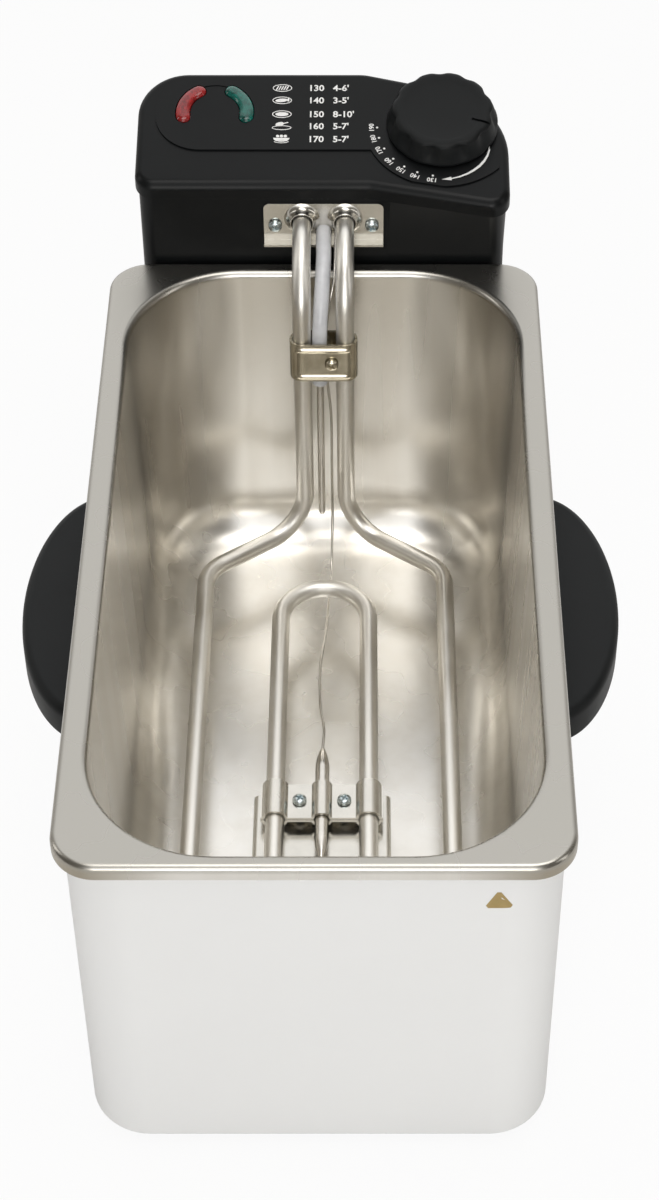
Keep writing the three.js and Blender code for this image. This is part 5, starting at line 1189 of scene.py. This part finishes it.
fold_line = support_line(0) + support_line(STRIP)[::-1]
support = piece_from("element_shelf", [slab(fold_line, -support_low.y, -support_high.y)], sharp=40,
                     place=on_end)
pierce(support, 40, *strap_holes(support_high.z, 6))
hand_over(support, "bright steel", "head", "bright_steel", "element_support")
print("support stands", round(support_high.z - support_low.z, 1), "mm tall")

# %% [markdown]
# ## The sensors
# A milky silicone sleeve leaves the head between the tubes and ends below the clamp; the limiter's
# slim probe comes out of it. The thermostat's bulb lies near the floor, and its hair-thin capillary
# climbs back to the head in a loose line, as it was bent by hand.

# %% Run the sleeve and the limiter's probe
SLEEVE_X, SLEEVE_END = -1.8, RIM_Z - 39
SLEEVE_R, SLEEVE_IN, PROBE_R = 3.35, 2.6, 1.6
PROBE_TIP = RIM_Z - 119
route = [(0, CASE_Y + 8, SLEEVE_Z), (0, CASE_Y - 8, SLEEVE_Z), (0.1, CASE_Y - 18, SLEEVE_Z - 2.5),
         (-0.6, HANG_Y + 8, SLEEVE_Z - 11), (-1.4, HANG_Y + 1.5, SLEEVE_Z - 22),
         (SLEEVE_X, HANG_Y, SLEEVE_Z - 32), (SLEEVE_X, HANG_Y, SLEEVE_END)]
centre = soft_path(route, 10)
sleeve = piece_from("silicone_sleeve", [tube(centre, SLEEVE_R, 28) + tube(centre, SLEEVE_IN, 28)[::-1]],
                    closed=True, sharp=50)
hand_over(sleeve, "silicone", "head", "silicone", "sensor_sleeve")
cutout_high = box_mm("thermal_cutout")[1]
lead = [(cutout_high.x + SEAT_GAP, CASE_BACK - 11.2, BUTTON_Z), (-6, CASE_BACK - 20, BUTTON_Z + 8),
        (-1, CASE_Y + 20, SLEEVE_Z - 3)] + route[:-1] + [(SLEEVE_X, HANG_Y, SLEEVE_END + 6)]
pencil = [(0.5, PROBE_TIP), (1.0, PROBE_TIP + 0.5), (1.4, PROBE_TIP + 1.6), (PROBE_R, PROBE_TIP + 3.5),
          (PROBE_R, SLEEVE_END + 5), (HAIR_R, SLEEVE_END + 7)]
limiter = [[p + Vector((SLEEVE_X, HANG_Y, 0)) for p in ring] for ring in turned(pencil, 24)]
probe = piece_from("limiter_sensor", [limiter, tube(soft_path(lead, 8), HAIR_R, 10)], sharp=50)
hand_over(probe, "probe steel", "head", "bright_steel", "limiter_probe")
print("sleeve follows", len(centre), "points")

# %% [markdown]
# The bulb is a closed steel cigar full of oil, tapered at both ends. The hair-thin capillary is led by
# hand, so a soft curve through a few chosen points gives the right looseness.

# %% Lay the thermostat's bulb and capillary
BULB_HALF, BULB_TAPER, BULB_TIP, BULB_SWELL = 30.5, 11.5, 0.8, 2.2
ogive = [(BULB_TIP + BULB_SWELL * math.sin(a) ** 0.9, -BULB_HALF + BULB_TAPER * i / 10)
         for i, a in enumerate(quarter(10))]
ogive += [(r, -z) for r, z in reversed(ogive)]
bulb = piece_from("thermostat_sensor", [turned(ogive, 32)], sharp=60,
                  place=facing((0, STRAP_Y, GROUND_Z), back))
hand_over(bulb, "probe steel", "head", "stainless", "thermostat_bulb")
tail = STRAP_Y + BULB_HALF + SEAT_GAP
behind = HANG_Y + TUBE_BORE + STRIP + SEAT_GAP + 2 * HAIR_R
under = GROUND_Z - TUBE_R - HAIR_R - 1.5
leaves = panel @ Vector((32.1, 25.5, -16))
hair = [leaves, (24, leaves.y - 4, leaves.z - 9), (14, CASE_Y + 14, HAIR_Z - 2), (5.8, CASE_Y + 8, HAIR_Z),
        (HAIR_X, CASE_Y + 2, HAIR_Z), (HAIR_X, CASE_Y - 6, HAIR_Z), (4.6, HANG_Y + 14, RIM_Z + 8),
        (2, behind + 1, RIM_Z - 6), (0.8, behind, RIM_Z - 22), (1.2, behind - 0.5, RIM_Z - 42),
        (2.9, HANG_Y + 3, RIM_Z - 62), (3, HANG_Y - 1, RIM_Z - 90), (3.2, HANG_Y - 9, RIM_Z - 112),
        (2.6, HANG_Y - 24, under + 2), (1.6, LOOP_Y - 2, under - 0.5), (0.4, LOOP_Y - 24, under + 1),
        (-1.6, tail + 52, GROUND_Z - 3), (-1.4, tail + 28, GROUND_Z - 2), (0.4, tail + 12, GROUND_Z - 0.5),
        (0, tail, GROUND_Z)]
capillary = piece_from("capillary", [tube(soft_path(hair, 8), HAIR_R, 10)], sharp=60)
hand_over(capillary, "probe steel", "head", "bright_steel", "thermostat_capillary")
print("bulb is", 2 * BULB_HALF, "mm long")

# %% [markdown]
# ## The back of the head
# Two small parts show there: the red button that resets the thermal cut-out, and the rubber gland
# where the mains cord would come out. Both are turned shapes with soft edges.

# %% Turn the button and the gland
low, high = box_mm("reset_button")
tall = high.y - low.y
BUTTON = [(0.05, 0), (3.4, 0), (4, 0.5), (4, tall - 0.9), (3.75, tall - 0.35), (3.2, tall - 0.05),
          (1.5, tall)]
button = piece_from("reset_cap", [turned(BUTTON, 40)], sharp=50,
                    place=facing((CUTOUT_X, low.y, BUTTON_Z), back))
hand_over(button, "red plastic", "reset_button", "red_plastic", "reset_button")
low, high = box_mm("cord_gland")
tall = high.y - low.y
GLAND = [(3.6, 0), (9.2, 0), (9.5, 0.4), (9.5, 2), (7, 2), (7, tall - 2.4), (10, tall - 2.4),
         (10, tall - 1.7), (9.6, tall - 0.7), (8.8, tall - 0.1), (7.6, tall), (4.6, tall), (3.9, tall - 0.3),
         (3.6, tall - 1)]
gland = piece_from("cord_bush", [turned(GLAND, 48)], closed=True, sharp=50,
                   place=facing((GLAND_X, low.y, GLAND_Z), back))
hand_over(gland, "rubber", "head", "rubber", "cord_gland")
print("the gland stands", round(tall, 1), "mm long")

# %% [markdown]
# ## The printing on the cover
# A pad printer leaves a film of white paint a few hundredths of a millimetre thick. It is made as real,
# very thin geometry that lies on the raised field. First come flat shapes with a little thickness:
# filled blobs, rings and bars are enough for small pictures of dishes, the dots and the arrow.

# %% Inks and stencils
INK_TOP = 0.05


def film(points):
    """A filled flat shape as a thin film."""
    return slab(points, 0, INK_TOP)


def blob(x, y, half_wide, half_tall, turn=0.0, steps=28):
    swing = Matrix.Rotation(turn, 2)
    middle = Vector((x, y))
    turns = [math.tau * i / steps for i in range(steps)]
    return [middle + swing @ Vector((half_wide * math.cos(a), half_tall * math.sin(a))) for a in turns]


def stick(x0, y0, x1, y1, width):
    start, end = Vector((x0, y0)), Vector((x1, y1))
    along = (end - start).normalized() * width / 2
    side = Vector((-along.y, along.x))
    return [start - along - side, end + along - side, end + along + side, start - along + side]


def hoop(x, y, half_wide, half_tall, line):
    """A ring-shaped film: up its outside and down its inside."""
    wide = blob(x, y, half_wide, half_tall, 0, 40)
    narrow = blob(x, y, half_wide - line, half_tall - line, 0, 40)
    return film(wide) + film(narrow)[::-1]


def on_dial(radius, degrees):
    a = math.radians(degrees)
    return Vector((dial.x + radius * math.cos(a), dial.y + radius * math.sin(a)))


def printed(name, stacks, closed=False):
    ink = piece_from(name, stacks, closed=closed, place=panel)
    hand_over(ink, "white print", "head", "white_paint")


print("a film is", INK_TOP, "mm thick")

# %% [markdown]
# The chart has five rows, each with a small picture of a dish, a temperature and a range of minutes.
# The pictures are plain ones drawn for this lesson: chips, a fillet, a croquette, a drumstick and a
# bowl, each on an oval plate.

# %% Print the dishes
ROWS = [54.4, 47.2, 39.2, 32.3, 24.9]
DISH_X = -18.4
chips, fillet, croquette, drumstick, bowl = ROWS
plates = [hoop(DISH_X, y, 4.3, 2.15, 0.38) for y in (chips, fillet, croquette)]
plates += [hoop(DISH_X, drumstick - 0.9, 4.3, 1.3, 0.36), hoop(DISH_X, bowl - 1.5, 3.2, 0.75, 0.3)]
printed("printed_plates", plates, closed=True)
food = [film(stick(DISH_X + dx - 0.4, chips - 0.9, DISH_X + dx + 0.4, chips + 0.9, 0.5))
        for dx in (-2.2, -1.1, 0, 1.1, 2.2)]
food.append(film(blob(DISH_X - 0.3, fillet, 2.7, 1.0, 0.12)))
food.append(film(blob(DISH_X + 2.7, fillet + 0.25, 0.45, 0.95)))
food.append(film(blob(DISH_X, croquette, 2.9, 1.15)))
food.append(film(blob(DISH_X - 0.9, drumstick + 1.15, 1.9, 1.15, 0.3)))
food.append(film(stick(DISH_X + 1.0, drumstick + 1.6, DISH_X + 2.6, drumstick + 2.1, 0.5)))
turns = [math.pi + math.pi * i / 20 for i in range(21)]
food.append(film([Vector((DISH_X + 3.6 * math.cos(a), bowl + 0.7 + 2.2 * math.sin(a))) for a in turns]))
food += [film(blob(DISH_X + dx, bowl + 1.7, 0.75, 0.75)) for dx in (-1.7, 0, 1.7)]
printed("printed_dishes", food)
print("dish pictures:", len(ROWS))

# %% [markdown]
# The numbers are set in the program's own plain letter shape, given the film's thickness and joined in
# one mesh. Beside each dish stand its temperature and its minutes, and seven temperatures stand round
# the dial, each turned so that its foot points to the knob.

# %% Print the numbers
printed_text = bmesh.new()
DIGIT_SHARE = 0.69
LEFT_OF_HEATS, LEFT_OF_MINUTES, CHART_TALL = -6.9, 4.0, 3.3
NUMBER_RING, NUMBER_TALL = 30.0, 2.1


def print_text(text, x, y, tall, turn=0.0, bold=0.022, wide=0.98):
    """Sets a short text with its left end, or its middle when it is turned, at a point on the panel."""
    letters = bpy.data.curves.new("letters", "FONT")
    letters.body = text
    letters.offset = bold
    letters.align_x = "CENTER" if turn else "LEFT"
    letters.resolution_u = 3
    size = tall / DIGIT_SHARE
    letters.extrude = INK_TOP / 2 / size
    holder = in_scene("letters", letters)
    bpy.context.view_layer.update()
    flat = bpy.data.meshes.new_from_object(holder.evaluated_get(bpy.context.evaluated_depsgraph_get()))
    spot = Matrix.Translation((x, y, INK_TOP / 2)) @ Matrix.Rotation(turn, 4, "Z")
    flat.transform(home @ panel @ spot @ Matrix.Diagonal((size * wide, size, size, 1)))
    printed_text.from_mesh(flat)
    bpy.data.objects.remove(holder)
    bpy.data.meshes.remove(flat)


HEATS = ["130", "140", "150", "160", "170"]
MINUTES = ["4-6'", "3-5'", "8-10'", "5-7'", "5-7'"]
for y, heat, minutes in zip(ROWS, HEATS, MINUTES):
    print_text(heat, LEFT_OF_HEATS, y - CHART_TALL / 2, CHART_TALL)
    print_text(minutes, LEFT_OF_MINUTES, y - CHART_TALL / 2, CHART_TALL)
DIAL_MARKS = dict(zip(range(130, 200, 10), (-99, -113, -126, -139, -153, -166, -178)))
for heat, degrees in DIAL_MARKS.items():
    turn = math.radians(degrees)
    x, y = dial.x + NUMBER_RING * math.cos(turn), dial.y + NUMBER_RING * math.sin(turn)
    print_text(str(heat), x, y, NUMBER_TALL, turn - math.pi / 2, 0.018, 1.0)
numbers_mesh = bpy.data.meshes.new("printed_numbers")
bmesh.ops.remove_doubles(printed_text, verts=printed_text.verts, dist=1e-7)
printed_text.to_mesh(numbers_mesh)
printed_text.free()
hand_over(in_scene("printed_numbers", numbers_mesh), "white print", "head", "white_paint")
print("numbers:", len(numbers_mesh.polygons), "faces")

# %% [markdown]
# Round the dial, a dot marks each ten degrees, and an arrow that sweeps up to the first of them shows
# which way is hotter. The arrow's band, given by angle, radius and half its width, widens slowly and
# ends in a slim head.

# %% Print the dial's scale
DOT_RING, DOT_R = 28.6, 0.5
marks = [film(blob(*on_dial(DOT_RING, degrees), DOT_R, DOT_R)) for degrees in DIAL_MARKS.values()]
ARROW = [(-24, 22.0, 0.15), (-29, 23.4, 0.25), (-35, 24.7, 0.38), (-41, 25.8, 0.48), (-48, 26.9, 0.55),
         (-55, 27.8, 0.58), (-62, 28.5, 0.55), (-68, 29.1, 0.48), (-76, 29.7, 0.36), (-83, 30.1, 0.26),
         (-83.2, 30.1, 1.0), (-91, 30.3, 0.04)]
one_side = [on_dial(radius + half, degrees) for degrees, radius, half in ARROW]
other_side = [on_dial(radius - half, degrees) for degrees, radius, half in reversed(ARROW)]
printed("printed_scale", marks + [film(one_side + other_side)])
print("dots:", len(DIAL_MARKS))

# %% [markdown]
# ## A small sticker
# Low on the right of the housing's front, just under the rim, sits a small ochre triangle. It is a thin
# label that follows the wall, and near its right corner the wall already starts to turn.

# %% Stick the label on
LABEL = [(60.7, 149.0), (71.8, 149.0), (65.9, 159.3)]
LABEL_CORNER = 0.04


def wall_y(x):
    """How far back the housing's front wall is at a place across it."""
    turn = max(0, x - (house_high.x - HOUSE_CORNER))
    return house_low.y + HOUSE_CORNER - math.sqrt(HOUSE_CORNER ** 2 - turn ** 2)


def label_ring(proud, inset):
    corners = [Vector(corner) for corner in LABEL]
    middle = sum(corners, Vector((0, 0))) / 3
    ring = []
    for start, end in zip(corners, corners[1:] + corners[:1]):
        for k in range(1, 10):
            p = start.lerp(end, LABEL_CORNER + (1 - 2 * LABEL_CORNER) * k / 10).lerp(middle, inset)
            ring.append(Vector((p.x, wall_y(p.x) - proud, p.y)))
    return ring


label = piece_from("plain_label", [[label_ring(-0.02, 0), label_ring(0.06, 0), label_ring(0.08, 0.02)]])
hand_over(label, "ochre print", "housing", "white_paint")
print("label corners:", LABEL)

# %% [markdown]
# ## Floor, light and air
# The fryer stands on a plain pale floor that fades into the same pale backdrop. The floor is partly
# lit by itself towards the camera, so that it reads as white and still takes the fryer's soft shadow.

# %% Lay the floor
WHITE = (1.0, 1.0, 1.0, 1)
FLOOR_REACH, FLOOR_GLOW = 6, 0.92
floor_mesh = bpy.data.meshes.new("floor")
floor_corners = [(x * FLOOR_REACH, y * FLOOR_REACH, 0) for x, y in ((-1, -1), (1, -1), (1, 1), (-1, 1))]
floor_mesh.from_pydata(floor_corners, [], [(0, 1, 2, 3)])
floor = in_scene("floor", floor_mesh)
floor_finish = bpy.data.materials.new("floor")
floor_finish.use_nodes = True
tree = floor_finish.node_tree
paper = {"Base Color": (0.80, 0.80, 0.80, 1), "Roughness": 0.9, "Specular IOR Level": 0.1}
matt = fill(tree.nodes["Principled BSDF"], paper).outputs["BSDF"]
glow = add(tree, "Emission", {"Color": WHITE}).outputs["Emission"]
seen = add(tree, "LightPath").outputs["Is Camera Ray"]
share = add(tree, "Math", {0: seen, 1: FLOOR_GLOW}, operation="MULTIPLY").outputs["Value"]
mixed = add(tree, "MixShader", {"Fac": share, 1: matt, 2: glow}).outputs["Shader"]
fill(tree.nodes["Material Output"], {"Surface": mixed})
floor_mesh.materials.append(floor_finish)
print("floor at the feet, z = 0")

# %% [markdown]
# Polished steel shows the room it stands in. So the air is a ring of light round the fryer that is
# bright in front and behind, and dark and a little warm at the sides: that draws the dark and light
# bands in the steel. The camera itself sees plain white instead. Four soft panels, one overhead, one on
# each side and one in front, give the shadows and the highlights, all aimed at the fryer's middle.

# %% Fill the air with soft light
COOL, WARM = (1.0, 1.0, 1.0), (1.0, 0.93, 0.82)
ROOM = [(0.0, 0.14, WARM), (0.17, 0.18, WARM), (0.22, 1.35, COOL), (0.28, 1.35, COOL), (0.33, 0.18, WARM),
        (0.50, 0.14, WARM), (0.58, 0.30, WARM), (0.66, 1.20, COOL), (0.84, 1.20, COOL), (0.92, 0.30, WARM),
        (1.0, 0.14, WARM)]
world = bpy.data.worlds.new("studio")
bpy.context.scene.world = world
world.use_nodes = True
tree = world.node_tree
around = add(tree, "TexCoord").outputs["Generated"]
compass = add(tree, "TexGradient", {"Vector": around}, gradient_type="RADIAL").outputs["Fac"]
room = shades(tree, compass, [(at, tuple(c * level for c in tint)) for at, level, tint in ROOM])
air = fill(tree.nodes["Background"], {"Color": room, "Strength": 1.0}).outputs["Background"]
backdrop = add(tree, "Background", {"Color": WHITE, "Strength": 1.0}).outputs["Background"]
seen = add(tree, "LightPath").outputs["Is Camera Ray"]
mixed = add(tree, "MixShader", {"Fac": seen, 1: air, 2: backdrop}).outputs["Shader"]
fill(tree.nodes["World Output"], {"Surface": mixed})


def soft_panel(name, place, width, height, power):
    light = bpy.data.lights.new(name, "AREA")
    light.shape = "RECTANGLE"
    light.size, light.size_y = width, height
    light.energy = power
    light.color = (1, 0.985, 0.96)
    holder = in_scene(name, light)
    holder.location = place
    aim = Vector((0, 0, 0.12)) - Vector(place)
    holder.rotation_euler = aim.to_track_quat("-Z", "Y").to_euler()


soft_panel("overhead", (0.1, -0.2, 1.6), 1.1, 0.7, 7)
soft_panel("left side", (-1.5, 0.2, 0.9), 0.35, 1.2, 2.5)
soft_panel("right side", (1.4, -0.5, 0.8), 0.3, 1.2, 2)
soft_panel("front", (0.0, -2.0, 0.6), 0.9, 1.0, 9)
bpy.context.scene.view_settings.view_transform = "Standard"
print("lights:", len(bpy.data.lights))
